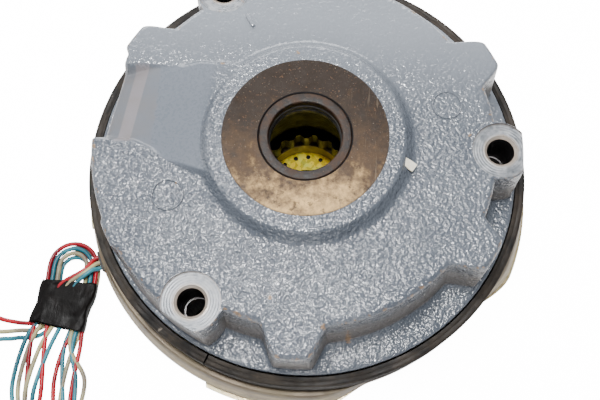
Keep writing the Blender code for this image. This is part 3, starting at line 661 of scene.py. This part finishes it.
def lead_route(name, slots, bulge):
    """One lead from the outlet: down the hank and back four times, and out to the left."""
    offset = {"lead_red": 2.1, "lead_white": 0.0, "lead_blue": -2.1}[name] * MM
    out = polar(1, OUTLET_ANGLE)
    side = Vector((-out.y, out.x, 0))
    start = out * 84.9 * MM - side * offset + Vector((0, 0, 4.05 * MM))
    points = [start, start + out * 2.2 * MM + Vector((0, 0, 0.3 * MM))]
    first, top_a, second, top_b = (FOLD_RADII[slot] for slot in slots)
    entry = {"lead_red": -3.4, "lead_white": -0.8, "lead_blue": 1.9}[name]
    turn_at = {"lead_red": (12.0, -6.4), "lead_white": (14.4, -4.6), "lead_blue": (17.0, -3.0)}[name]
    low, high, over = LAYERS
    end = HANK_END - 1
    near_low = (low + high) / 2

    def laid(*spots):
        points.extend(hank_place(*spot) for spot in spots)

    laid((1.6, (entry + 10.5) / 2 + 1.6, 5.6 * MM), (7.5, entry + 0.8, 5.5 * MM),
         (14, entry, over), (22, entry, over),
         (33, entry * 0.6 + (2.6 - first) * 0.4 + bulge[0], over - 0.5 * MM),
         (47, 2.6 - first + bulge[0], (high + over) / 2), (58, 2.6 - first, high))
    points += fold(end, 2.6, first, high, True)
    laid((56, 2.6 + first + 0.8, high), (44, 2.6 + first + 1.4 + bulge[1], high),
         (31, top_a + 1.2 + bulge[1], high), (20, top_a + 0.4, high), (8, top_a, high))
    points += fold(0, -0.3, top_a, high, False)[::-1]
    laid((8, -top_a - 0.2, high), (20, -top_a, high),
         (31, -top_a * 0.5 - (2.6 + second) * 0.5 + bulge[2], high),
         (44, -2.8 - second + bulge[2], near_low), (56, -2.8 - second, low))
    points += fold(end - 2, -2.6, second, low, True)
    laid((56, -2.6 + second, low), (44, -2.2 + second + bulge[3], low),
         (31, (top_b + second - 2.6) / 2 + bulge[3], low), (20, top_b - 0.2, low), (8, top_b + 0.3, low))
    points += fold(1.2, 0.3, top_b, low, False)[::-1]
    laid((7, -top_b + 0.5, low), (*turn_at, low))
    route = TAILS[name]
    corner = Vector((route[0][0] + 7.4, route[0][1] + 0.5, low / MM)) * MM
    near = hank_place(turn_at[0] + 5.2, turn_at[1] + 0.2, low)
    points += [near, near.lerp(corner, 0.62) + Vector((0, -0.5 * MM, 0)),
               corner + Vector((-2.6 * MM, -0.1 * MM, 0))]
    return points + [Vector((x * MM, y * MM, low)) for x, y in route]


LEADS = {
    "lead_red": (("inner", "outer", "inner", "middle"), (1.2, 0.6, 0.4, -0.8)),
    "lead_white": (("outer", "inner", "middle", "outer"), (-0.8, 1.0, -0.6, 0.8)),
    "lead_blue": (("middle", "middle", "outer", "inner"), (0.4, -0.4, -1.0, -1.6)),
}


def add_lead(name, finish, stands_for):
    slots, bulge = LEADS[name]
    path, length = curve_through(lead_route(name, slots, bulge))
    curve = bpy.data.curves.new(name + "_cord", "CURVE")
    curve.dimensions = "3D"
    curve.bevel_depth = LEAD_D / 2
    curve.bevel_resolution = 3
    curve.use_fill_caps = True
    line = curve.splines.new("POLY")
    line.points.add(len(path) - 1)
    for point, place in zip(line.points, path):
        point.co = (*place, 1)
    line.use_smooth = True
    curve.materials.append(finish)
    obj = bpy.data.objects.new(name + "_cord", curve)
    bpy.context.collection.objects.link(obj)
    finished(obj, stands_for)
    return obj


def add_tape(finish):
    """The tape round the hank: a flattened sleeve with soft wrinkles and uneven ends."""
    bm = bmesh.new()
    made = bmesh.ops.create_circle(bm, segments=TAPE_RING, radius=1)["verts"]
    base = [v.co.copy() for v in made]
    edges = list(bm.edges)
    loops = [made]
    for _ in range(TAPE_ROWS):
        raised = bmesh.ops.extrude_edge_only(bm, edges=edges)["geom"]
        edges = [g for g in raised if isinstance(g, bmesh.types.BMEdge)]
        loops.append([g for g in raised if isinstance(g, bmesh.types.BMVert)])
    for row, loop in enumerate(loops):
        share = row / TAPE_ROWS
        for i, v in enumerate(loop):
            c = v.co if row else base[i]
            turn = math.atan2(c.y, c.x)
            cos, sin = math.cos(turn), math.sin(turn)
            across = math.copysign(abs(cos) ** TAPE_POWER, cos)
            up = math.copysign(abs(sin) ** TAPE_POWER, sin)
            ragged = 0.5 * noise.noise(Vector((cos * 2.4, sin * 2.4, 3 + row)))
            at = TAPE_SPAN[0] / MM + (TAPE_SPAN[1] - TAPE_SPAN[0]) / MM * share
            at += ragged * (0.9 if row in (0, TAPE_ROWS) else 0.15)
            wide = 10.6 - 0.25 * share + 0.35 * math.sin(share * 9 + turn * 2)
            crease = noise.noise(Vector((across * 2.6, share * 3.4, up))) * 0.55
            crease += noise.noise(Vector((across * 8 + share * 3, share * 6, up * 2))) * 0.22
            height = 3.35 + up * (2.95 + (crease if up > 0 else 0))
            v.co = hank_place(at, 0.1 + across * wide + crease * 0.3, max(0.22, height) * MM)
    obj = object_of("hank_tape_wrap", bm, [finish])
    wall = obj.modifiers.new("wall", "SOLIDIFY")
    wall.thickness = 0.28 * MM
    wall.offset = -1
    return finished(obj, ("hank_tape",), sharp=60)


# ---------------------------------------------------------------- cast body

PLATEAU_R = 63.4 * MM
LOBE_R = 73.4 * MM
BOSS_R = 10.3 * MM
SKIRT_R = 76.0 * MM
HUB_FOOT_R = 35.6 * MM
RING_FACE_R = 28.1 * MM
SEAT_R = 15.7 * MM
EDGE_R = 61.6 * MM
FOOT_R = 68.4 * MM
FLAT_NORMAL = 171.1
FLAT_AT = 68.7 * MM


def wall_radius(degrees):
    """The outline of the raised part: an arc, lobes, bolt bosses, a rim and a straight flat."""
    radius = PLATEAU_R + 1.4 * MM * (1 - smooth_step(20, 34, abs(off_centre(degrees, 0))))
    for centre in LOBE_ANGLES:
        across = PLATEAU_R * math.radians(abs(off_centre(degrees, centre)))
        share = 1 - smooth_step(3.6 * MM, 11.4 * MM, across)
        radius = max(radius, PLATEAU_R + (LOBE_R - PLATEAU_R) * share)
    for centre in BOLT_ANGLES:
        turn = math.radians(off_centre(degrees, centre))
        side = BOLT_R * math.sin(turn)
        if abs(turn) < 1 and abs(side) < BOSS_R:
            outer = BOLT_R * math.cos(turn) + math.sqrt(BOSS_R ** 2 - side ** 2)
            radius = max(radius, min(outer, 75.6 * MM))
    rim = smooth_step(180.9, 182.1, degrees % 360) * (1 - smooth_step(232, 237, degrees % 360))
    lean = 1.2 * MM * (degrees % 360 - 181) / 54
    radius = max(radius, PLATEAU_R + (73.0 * MM - lean - PLATEAU_R) * rim)
    flat = smooth_step(154.0, 156.5, degrees % 360) * (1 - smooth_step(180.9, 182.1, degrees % 360))
    straight = FLAT_AT / math.cos(math.radians(off_centre(degrees, FLAT_NORMAL)))
    return radius + (min(straight, 73.0 * MM) - radius) * flat


STRIPE_LEAN = 0.13
STRIPE_RIGHT = -59.7
STRIPE_LEFT = -64.6
PANEL_FOOT = ((-80, -3.3), (-57.9, -4.0), (-52.2, -6.1), (-46.2, -10.1), (-39.5, -12.6),
              (-34.3, -14.8), (-29.7, -16.6), (-26.5, -18.9), (-22.8, -22.9))


def panel_level(x, y):
    """The level of the milled strip from the hub out to the flat, and None outside it."""
    x, y = x / MM, y / MM
    if x > -22.8 or y > 29:
        return None
    head = 25.4 + 2.0 * smooth_step(-46, -38, x)
    foot = PANEL_FOOT[-1][1]
    for (x0, y0), (x1, y1) in zip(PANEL_FOOT, PANEL_FOOT[1:]):
        if x0 <= x <= x1:
            foot = y0 + (y1 - y0) * (x - x0) / (x1 - x0)
    if head <= y or y <= foot:
        return None
    inside = min((head - y) * 2.1, (y - foot) * 1.5)
    plane = min(0.16 * (x + 47), 3.5)
    step = x - STRIPE_LEAN * y
    plane += 0.24 * min(0, max(step - STRIPE_RIGHT, STRIPE_LEFT - STRIPE_RIGHT))
    plane += 0.16 * min(0, step - STRIPE_LEFT)
    return PLATEAU_Z + max(-inside, min(plane, inside)) * MM


def body_profile():
    """The turned outline, as if the raised part were round: hub, plateau, wall, ledge and skirt."""
    hub_round = arc((32.8 * MM, HUB_Z - 1.6 * MM), 1.6 * MM, 90, 28, 8)
    foot_round = arc((37.9 * MM, PLATEAU_Z + 2.7 * MM), 2.7 * MM, 213, 270, 8)
    top_round = arc((EDGE_R, PLATEAU_Z - 1.8 * MM), 1.8 * MM, 90, 8, 8)
    toe = arc((FOOT_R, LEDGE_Z + 2.8 * MM), 2.8 * MM, 187, 270, 8)
    shoulder = arc((SKIRT_R - 0.8 * MM, LEDGE_Z - 0.8 * MM), 0.8 * MM, 90, 0, 5)
    line = [(SEAT_R, SEAT_Z), (14.0 * MM, SEAT_Z), (14.0 * MM, SEAT_Z - 2.0 * MM)]
    line += [(17.0 * MM, SEAT_Z - 2.0 * MM)]
    line += ruled(line[-1], (17.0 * MM, MAGNET_Z), 6)
    coil_top = MAGNET_Z + 17.5 * MM
    line += [(32.0 * MM, MAGNET_Z), (32.0 * MM, coil_top), (50.0 * MM, coil_top), (50.0 * MM, MAGNET_Z)]
    line += ruled(line[-1], (SKIRT_R, MAGNET_Z), 4)
    line += ruled(line[-1], shoulder[-1], 4)[:-1]
    line += shoulder[::-1]
    line += ruled(line[-1], toe[-1], 7)[:-1]
    line += toe[::-1]
    line += ruled(line[-1], top_round[-1], 14)[:-1]
    line += top_round[::-1]
    line += ruled(line[-1], foot_round[-1], 40)[:-1]
    line += foot_round[::-1]
    line += ruled(line[-1], hub_round[-1], 4)[:-1]
    line += hub_round[::-1]
    line += ruled(line[-1], (RING_FACE_R, HUB_Z), 3)
    line += ruled(line[-1], (SEAT_R + 0.4 * MM, HUB_Z), 10)
    line += [(SEAT_R, HUB_Z - 0.4 * MM)]
    line += ruled(line[-1], (SEAT_R, SEAT_Z), 6)[:-1]
    return line


def shape_body(bm):
    """Moves the turned outline out to the lobes, and sinks the milled strip and its flat."""
    toe_limit = SKIRT_R - 1.4 * MM
    for v in bm.verts:
        x, y, z = v.co
        r, degrees = about(v.co)
        if z < LEDGE_Z - 0.1 * MM or r < 20 * MM:
            continue
        grow = wall_radius(degrees) - PLATEAU_R
        if r > HUB_FOOT_R + 3 * MM and z > PLATEAU_Z - 0.01 * MM:
            share = (r - HUB_FOOT_R - 3 * MM) / (EDGE_R - HUB_FOOT_R - 3 * MM)
            new = r + grow * share
        elif r > EDGE_R and r <= FOOT_R + 0.01 * MM:
            down = (PLATEAU_Z - z) / (PLATEAU_Z - LEDGE_Z)
            draft = 0.5 * MM * (1 - down) + (FOOT_R - r) * 0.12 * (grow > 6 * MM)
            new = min(r + grow, toe_limit - draft)
        elif r > FOOT_R:
            toe = min(FOOT_R + grow, toe_limit)
            share = (r - FOOT_R) / (SKIRT_R - 0.8 * MM - FOOT_R)
            new = toe + (SKIRT_R - 0.8 * MM - toe) * share if r < SKIRT_R - 0.8 * MM else r
        else:
            new = r
        v.co.x, v.co.y = x * new / r, y * new / r
        sink_strip(v, degrees)


def sink_strip(v, degrees):
    x, y, z = v.co
    if z > PLATEAU_Z - 0.01 * MM:
        level = panel_level(x, y)
        if level is not None:
            r = math.hypot(x, y)
            if level < PLATEAU_Z or r > HUB_FOOT_R + 0.5 * MM:
                v.co.z = level if r > HUB_FOOT_R + 2.5 * MM else max(z, level)
            else:
                v.co.z = max(z, level)
    elif z > LEDGE_Z + 0.01 * MM:
        edge = wall_radius(degrees) - 1.0 * MM
        rim = polar(edge, degrees)
        level = panel_level(rim.x, rim.y)
        if level is not None and level < PLATEAU_Z:
            share = (z - LEDGE_Z) / (PLATEAU_Z - LEDGE_Z)
            v.co.z = LEDGE_Z + (level - LEDGE_Z) * share


def bolt_cutter(place):
    """The stepped bore at a bolt: sleeve pocket, bolt hole, chamfer and spot face."""
    line = [(0, MAGNET_Z - MM), (6.5 * MM, MAGNET_Z - MM), (6.5 * MM, MAGNET_Z + 10 * MM),
            (4.6 * MM, MAGNET_Z + 10 * MM), (4.6 * MM, BOSS_Z - 0.9 * MM), (5.5 * MM, BOSS_Z),
            (9.8 * MM, BOSS_Z), (9.9 * MM, HUB_Z + MM), (0, HUB_Z + MM)]
    bm = spun(line, 72, start=1.3, closed=False)
    for face in bm.faces:
        middle = face.calc_center_median()
        on_face = middle.z > BOSS_Z - 0.95 * MM
        face.material_index = 1 if on_face else 2
    return placed(bm, place)


def carry(mesh, name, rule):
    """Gives each point of the mesh a number by its place."""
    made = mesh.attributes.new(name, "FLOAT", "POINT")
    made.data.foreach_set("value", [rule(v.co) for v in mesh.vertices])


def milled_share(co):
    if co.z < PLATEAU_Z - 8 * MM:
        return 0.0
    r = math.hypot(co.x, co.y)
    if r < HUB_FOOT_R:
        return 0.0
    level = panel_level(co.x, co.y)
    if level is None or co.z > level + 0.3 * MM:
        return 0.0
    return smooth_step(-28, -38, co.x / MM)


def low_share(co):
    if co.z < LEDGE_Z + 0.2 * MM or co.z > PLATEAU_Z - 0.8 * MM:
        return 0.0
    fade = 1 - 0.6 * smooth_step(LEDGE_Z, PLATEAU_Z, co.z)
    return smooth_step(LEDGE_Z, LEDGE_Z + 3 * MM, co.z) * fade


def edge_share(co):
    r, degrees = about(co)
    if co.z < LEDGE_Z + 8 * MM or r < 50 * MM:
        return 0.0
    edge = wall_radius(degrees)
    return 1 - smooth_step(0, 3.0 * MM, abs(r - edge + 0.6 * MM))


def add_body(paint, face_finish, hole_finish, ring_finish):
    bm = spun(body_profile(), 660)
    for face in bm.faces:
        middle = face.calc_center_median()
        r = math.hypot(middle.x, middle.y)
        if r < RING_FACE_R and middle.z > HUB_Z - 0.05 * MM:
            face.material_index = 3
        elif r < 17.2 * MM or middle.z < MAGNET_Z + 0.05 * MM:
            face.material_index = 2
    shape_body(bm)
    obj = object_of("cast_magnet_body", bm, [paint, face_finish, hole_finish, ring_finish])
    shapes = [bolt_cutter(polar(BOLT_R, angle)) for angle in BOLT_ANGLES]
    for angles, radius, circle, depth in ((SCREW_ANGLES, SCREW_SHANK_R, SCREW_R, 10.3 * MM),
                                          (range(30, 360, 60), 4.4 * MM, SPRING_R, 16 * MM)):
        for angle in angles:
            bm = faced(pin(radius, MAGNET_Z - MM, MAGNET_Z + depth, 24), 2)
            shapes.append(placed(bm, polar(circle, angle)))
    drilled(obj, shapes)
    for name, rule in (("milled", milled_share), ("low", low_share), ("edge", edge_share)):
        carry(obj.data, name, rule)
    return finished(obj, ("magnet_body",), sharp=40)


def add_casting_marks(paint):
    """Plain raised rings and a short bar on the plateau."""
    shapes = []
    for x, y, radius in ((-44.4, -22.2, 5.2), (47.6, 15.5, 4.9)):
        line = [(radius * MM + off * MM, level * MM)
                for off, level in ((-0.55, -0.3), (-0.2, 0.45), (0.2, 0.45), (0.55, -0.3))]
        shapes.append(placed(spun(line, 72), Vector((x * MM, y * MM, PLATEAU_Z))))
    bm = bmesh.new()
    start, stop = Vector((-23.8, 46.8, 0)) * MM, Vector((-20.9, 42.1, 0)) * MM
    along = stop - start
    turn = Matrix.Rotation(math.atan2(along.y, along.x), 4, "Z")
    middle = Matrix.Translation((start + stop) / 2 + Vector((0, 0, PLATEAU_Z)))
    size = Matrix.Diagonal((along.length, 1.4 * MM, 2.2 * MM, 1))
    bmesh.ops.create_cube(bm, size=1, matrix=middle @ turn @ size)
    bmesh.ops.bevel(bm, geom=list(bm.edges), offset=0.38 * MM, segments=4, profile=0.5,
                    affect="EDGES", material=-1)
    shapes.append(bm)
    obj = group_of("casting_marks", shapes, [paint])
    for name in ("milled", "low", "edge"):
        carry(obj.data, name, lambda co: 0.0)
    return finished(obj, sharp=50)


def add_seal(steel, rubber):
    top = HUB_Z - 0.15 * MM
    outer = 15.65 * MM
    line = arc((12.9 * MM, top - 0.6 * MM), 0.6 * MM, 180, 90, 5)
    line += arc((outer - 0.5 * MM, top - 0.5 * MM), 0.5 * MM, 90, 0, 5)
    line += [(outer, SEAT_Z + 0.3 * MM), (outer - 1.5 * MM, SEAT_Z + 0.3 * MM),
             (outer - 1.5 * MM, top - 2.4 * MM), (12.3 * MM, top - 2.4 * MM)]
    case = object_of("seal_rim", spun(line, 180), [steel])
    finished(case, ("seal_case",))
    high = top - 2.7 * MM
    low = SEAT_Z + 0.3 * MM
    wide = 13.0 * MM
    line = [(wide, low), (wide, high), (12.9 * MM, high)]
    line += arc((12.6 * MM, high - 0.9 * MM), 0.6 * MM, 90, 180, 5)
    line += [(12.35 * MM, high - 2.6 * MM)] + arc((12.4 * MM, high - 3.4 * MM), 0.4 * MM, 90, 270, 6)
    line += [(12.6 * MM, low)]
    lip = object_of("seal_lip", spun(line, 180), [rubber])
    finished(lip, ("shaft_seal",))


COLLAR_RIBS = 7
SPLIT_ANGLE = 247.5


def add_collar(rubber):
    """The rubber band over the air gap: fine ribs, a soft top edge, and a torn split."""
    inner, outer = SKIRT_R + 0.3 * MM, 80.0 * MM
    low, high = COLLAR_Z, COLLAR_TOP_Z
    line = [(inner, low), (outer - 0.3 * MM, low), (outer, low + 0.4 * MM)]
    height = high - low - 1.6 * MM
    step = height / COLLAR_RIBS
    for i in range(COLLAR_RIBS):
        base = low + 0.6 * MM + height * i / COLLAR_RIBS
        line += [(outer, base), (outer, base + step * 0.62), (outer - 0.22 * MM, base + step * 0.78),
                 (outer - 0.05 * MM, base + step * 0.97)]
    line += arc((outer - 0.9 * MM, high - 0.9 * MM), 0.9 * MM, 0, 90, 5)
    line += [(outer - 1.6 * MM, high - 0.02 * MM), (outer - 2.0 * MM, high - 0.16 * MM),
             (outer - 2.4 * MM, high - 0.02 * MM), (inner + 0.3 * MM, high)]
    bm = spun(line, 540, start=247.75, sweep=359.5)
    bm.edges.ensure_lookup_table()
    open_edges = [e for e in bm.edges if e.is_boundary]
    bmesh.ops.holes_fill(bm, edges=open_edges, sides=0)
    for v in bm.verts:
        r, degrees = about(v.co)
        near = off_centre(degrees, SPLIT_ANGLE)
        if abs(near) < 1.2:
            drop = (high - v.co.z) / (high - low)
            torn = 0.42 * noise.noise(Vector((0.3, v.co.z / MM * 0.55, 1.7))) + 0.55 * (0.35 - drop)
            share = 1 - smooth_step(0.25, 1.2, abs(near))
            v.co.xy = polar(r, degrees + torn * share).xy
    obj = object_of("rubber_collar", bm, [rubber])
    return finished(obj, ("sealing_collar",), sharp=28)


RELIEF = (283, 331)
RELIEF_R = 79.6 * MM


def relief_share(degrees, blend=16):
    middle = (RELIEF[0] + RELIEF[1]) / 2
    half = (RELIEF[1] - RELIEF[0]) / 2
    return 1 - smooth_step(half - blend / 2, half + blend / 2, abs(off_centre(degrees, middle)))


def relieve(bm, relief, start_r):
    """Pulls the rim in over the relieved span of its turn."""
    for v in bm.verts:
        r, degrees = about(v.co)
        if r > start_r:
            drawn_to(v, r, r - max(0, r - relief) * relief_share(degrees))


def outlet_cube(middle, size):
    bm = bmesh.new()
    turn = Matrix.Rotation(math.radians(OUTLET_ANGLE), 4, "Z")
    bmesh.ops.create_cube(bm, size=1, matrix=turn @ Matrix.Translation(middle) @ Matrix.Diagonal(size))
    return bm


def add_flange(finish, hole_finish):
    low, high = FLANGE_Z, FLANGE_TOP_Z
    outer, top_r = 84.8 * MM, 82.2 * MM
    line = [(15.0 * MM, low), (outer - 0.4 * MM, low), (outer, low + 0.4 * MM),
            (outer, high - 9.0 * MM)]
    line += ruled(line[-1], (top_r + 0.15 * MM, high - 0.5 * MM), 5)
    line += [(top_r - 0.4 * MM, high), (56.0 * MM, high), (56.0 * MM, high - 5.5 * MM),
             (15.0 * MM, high - 5.5 * MM)]
    bm = spun(line, 360)
    relieve(bm, RELIEF_R, 79 * MM)
    obj = object_of("flange_plate", bm, [finish, hole_finish])
    shapes = [placed(pin(BOLT_HOLE_R, low - MM, high + MM, 48), polar(BOLT_R, a)) for a in BOLT_ANGLES]
    head = [(0, low - MM), (SCREW_HEAD_R, low - MM), (SCREW_HEAD_R, low + 0.6 * MM),
            (SCREW_SHANK_R, low + 3.3 * MM), (SCREW_SHANK_R, high + MM), (0, high + MM)]
    shapes += [placed(spun(head, 32, start=2, closed=False), polar(SCREW_R, a)) for a in SCREW_ANGLES]
    shapes.append(outlet_cube((81.3 * MM, 0, low + 2.1 * MM), (11 * MM, 8.6 * MM, 4.8 * MM, 1)))
    shapes = [faced(bm, 1) for bm in shapes]
    drilled(obj, shapes)
    return finished(obj, ("friction_flange",))


def add_sheet(finish, hole_finish):
    outer = 86.4 * MM
    line = [(7.5 * MM, 0), (outer - 0.15 * MM, 0), (outer, 0.15 * MM), (outer, SHEET_Z - 0.15 * MM),
            (outer - 0.15 * MM, SHEET_Z), (40 * MM, SHEET_Z), (7.5 * MM, SHEET_Z)]
    bm = spun(line, 540)
    relieve(bm, RELIEF_R, 79 * MM)
    for v in bm.verts:
        r, degrees = about(v.co)
        turn = degrees % 360
        share = smooth_step(194.6, 195.6, turn) * (1 - smooth_step(247.1, 247.7, turn))
        if r > 83.9 * MM and share:
            drawn_to(v, r, r - (r - 84.0 * MM) * share)
    obj = object_of("bottom_sheet", bm, [finish, hole_finish])
    shapes = []
    for radius, circle, angles, steps in (
            (BOLT_HOLE_R, BOLT_R, BOLT_ANGLES, 40), (SCREW_HEAD_R, SCREW_R, SCREW_ANGLES, 40),
            (0.9 * MM, 13 * MM, [22.5 * i for i in range(16)], 20)):
        shapes += [faced(placed(pin(radius, -MM, SHEET_Z + MM, steps), polar(circle, angle)), 1)
                   for angle in angles]
    drilled(obj, shapes)
    return finished(obj, ("mounting_sheet",))


def add_grommet(rubber):
    """The outlet block, with a raised lip round its face."""
    low, high = FLANGE_Z + 0.3 * MM, FLANGE_Z + 4.2 * MM
    bm = outlet_cube((80.9 * MM, 0, (low + high) / 2), (9.2 * MM, 8 * MM, high - low, 1))
    out = polar(1, OUTLET_ANGLE)
    face = max(bm.faces, key=lambda face: face.calc_center_median().dot(out))
    bmesh.ops.inset_region(bm, faces=[face], thickness=0.5 * MM, depth=-0.4 * MM)
    edges = [e for e in bm.edges if e.is_convex]
    bmesh.ops.bevel(bm, geom=edges, offset=0.22 * MM, segments=3, profile=0.5, affect="EDGES",
                    material=-1)
    obj = object_of("outlet_block", bm, [rubber])
    return finished(obj, ("lead_grommet",))


def add_flake(finish):
    """A curled flake of old sealant stuck at the foot of the hub."""
    bm = bmesh.new()
    bmesh.ops.create_cube(bm, size=1, matrix=Matrix.Diagonal((7.6 * MM, 2.3 * MM, 0.7 * MM, 1)))
    bmesh.ops.subdivide_edges(bm, edges=list(bm.edges), cuts=5, use_grid_fill=True)
    for v in bm.verts:
        share = v.co.x / (3.8 * MM)
        v.co.y *= 1 + 0.25 * share
        v.co.z += (0.1 * share * share + 0.15 * noise.noise(v.co / (1.6 * MM))) * MM
        v.co.y += 0.35 * MM * noise.noise(v.co / (2.1 * MM) + Vector((5, 0, 0)))
    turn = Matrix.Rotation(math.atan2(-4.2, 6.4), 4, "Z") @ Matrix.Rotation(math.radians(12), 4, "Y")
    place = Matrix.Translation((33.6 * MM, -6.9 * MM, HUB_Z - 1.35 * MM))
    bmesh.ops.transform(bm, matrix=place @ turn, verts=bm.verts)
    obj = object_of("sealant_flake", bm, [finish])
    return finished(obj, sharp=40)


def dress(names, finish):
    """Gives CAD nodes whose shape is right their finish."""
    for name in names:
        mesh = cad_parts[name].data
        mesh.materials.clear()
        mesh.materials.append(finish)


INSULATIONS = (
    ("red", (0.42, 0.006, 0.016), (0.17, 0.003, 0.010), (0.06, 0.007, 0.008)),
    ("white", (0.44, 0.40, 0.20), (0.18, 0.155, 0.115), (0.36, 0.12, 0.045)),
    ("blue", (0.035, 0.22, 0.28), (0.012, 0.09, 0.125), (0.02, 0.04, 0.05)),
)


def build():
    add_camera()
    for hue, colour, deep, stain in INSULATIONS:
        nodes = ("lead_red", "lead_hank") if hue == "red" else ("lead_" + hue,)
        add_lead("lead_" + hue, insulation(hue + "_insulation", colour, deep, stain), nodes)
    add_tape(tape_finish())
    paint = cast_paint()
    hole = hole_wall()
    add_body(paint, spot_face(), hole, aged_ring())
    add_casting_marks(paint)
    rubber = black_rubber()
    add_seal(seal_steel(), rubber)
    add_collar(collar_rubber())
    add_flange(aged_plating(), hole)
    add_sheet(yellow_plating(), hole)
    add_grommet(rubber)
    add_flake(plain_finish("sealant", (0.72, 0.64, 0.48), (0.85, 0.80, 0.68), 0.6, 0.0))
    steel = bare_steel("machined_steel", (0.13, 0.12, 0.12), (0.36, 0.35, 0.35), 0.34)
    dress(("armature_plate",),
          bare_steel("oiled_steel", (0.010, 0.008, 0.010), (0.040, 0.034, 0.038), 0.5, 0.4))
    dress([f"{name}_{i}" for name in ("guide_sleeve", "retaining_screw") for i in (1, 2, 3)], steel)
    dress([f"rotor_rivet_{i}" for i in range(1, 7)], steel)
    dress(("rotor_carrier",),
          bare_steel("rotor_alloy", (0.008, 0.006, 0.013), (0.030, 0.023, 0.044), 0.42, 0.3))
    dress(("lower_lining", "upper_lining"),
          plain_finish("friction_lining", (0.05, 0.042, 0.037), (0.13, 0.11, 0.095), 0.8, 0.0, 1.2))
    dress(("holding_coil", "boost_coil"),
          plain_finish("coil_wire", (0.42, 0.15, 0.055), (0.66, 0.29, 0.12), 0.34, 0.9, 1.0))
    dress(("coil_bobbin",),
          plain_finish("bobbin_plastic", (0.58, 0.54, 0.44), (0.70, 0.66, 0.55), 0.5, 0.0))
    dress(("potting_ring",),
          plain_finish("potting_resin", (0.02, 0.02, 0.025), (0.06, 0.06, 0.07), 0.3, 0.0))
    dress([f"brake_spring_{i}" for i in range(1, 7)],
          plain_finish("spring_steel", (0.22, 0.22, 0.235), (0.36, 0.36, 0.38), 0.34, 0.95))
    add_stage()


build()
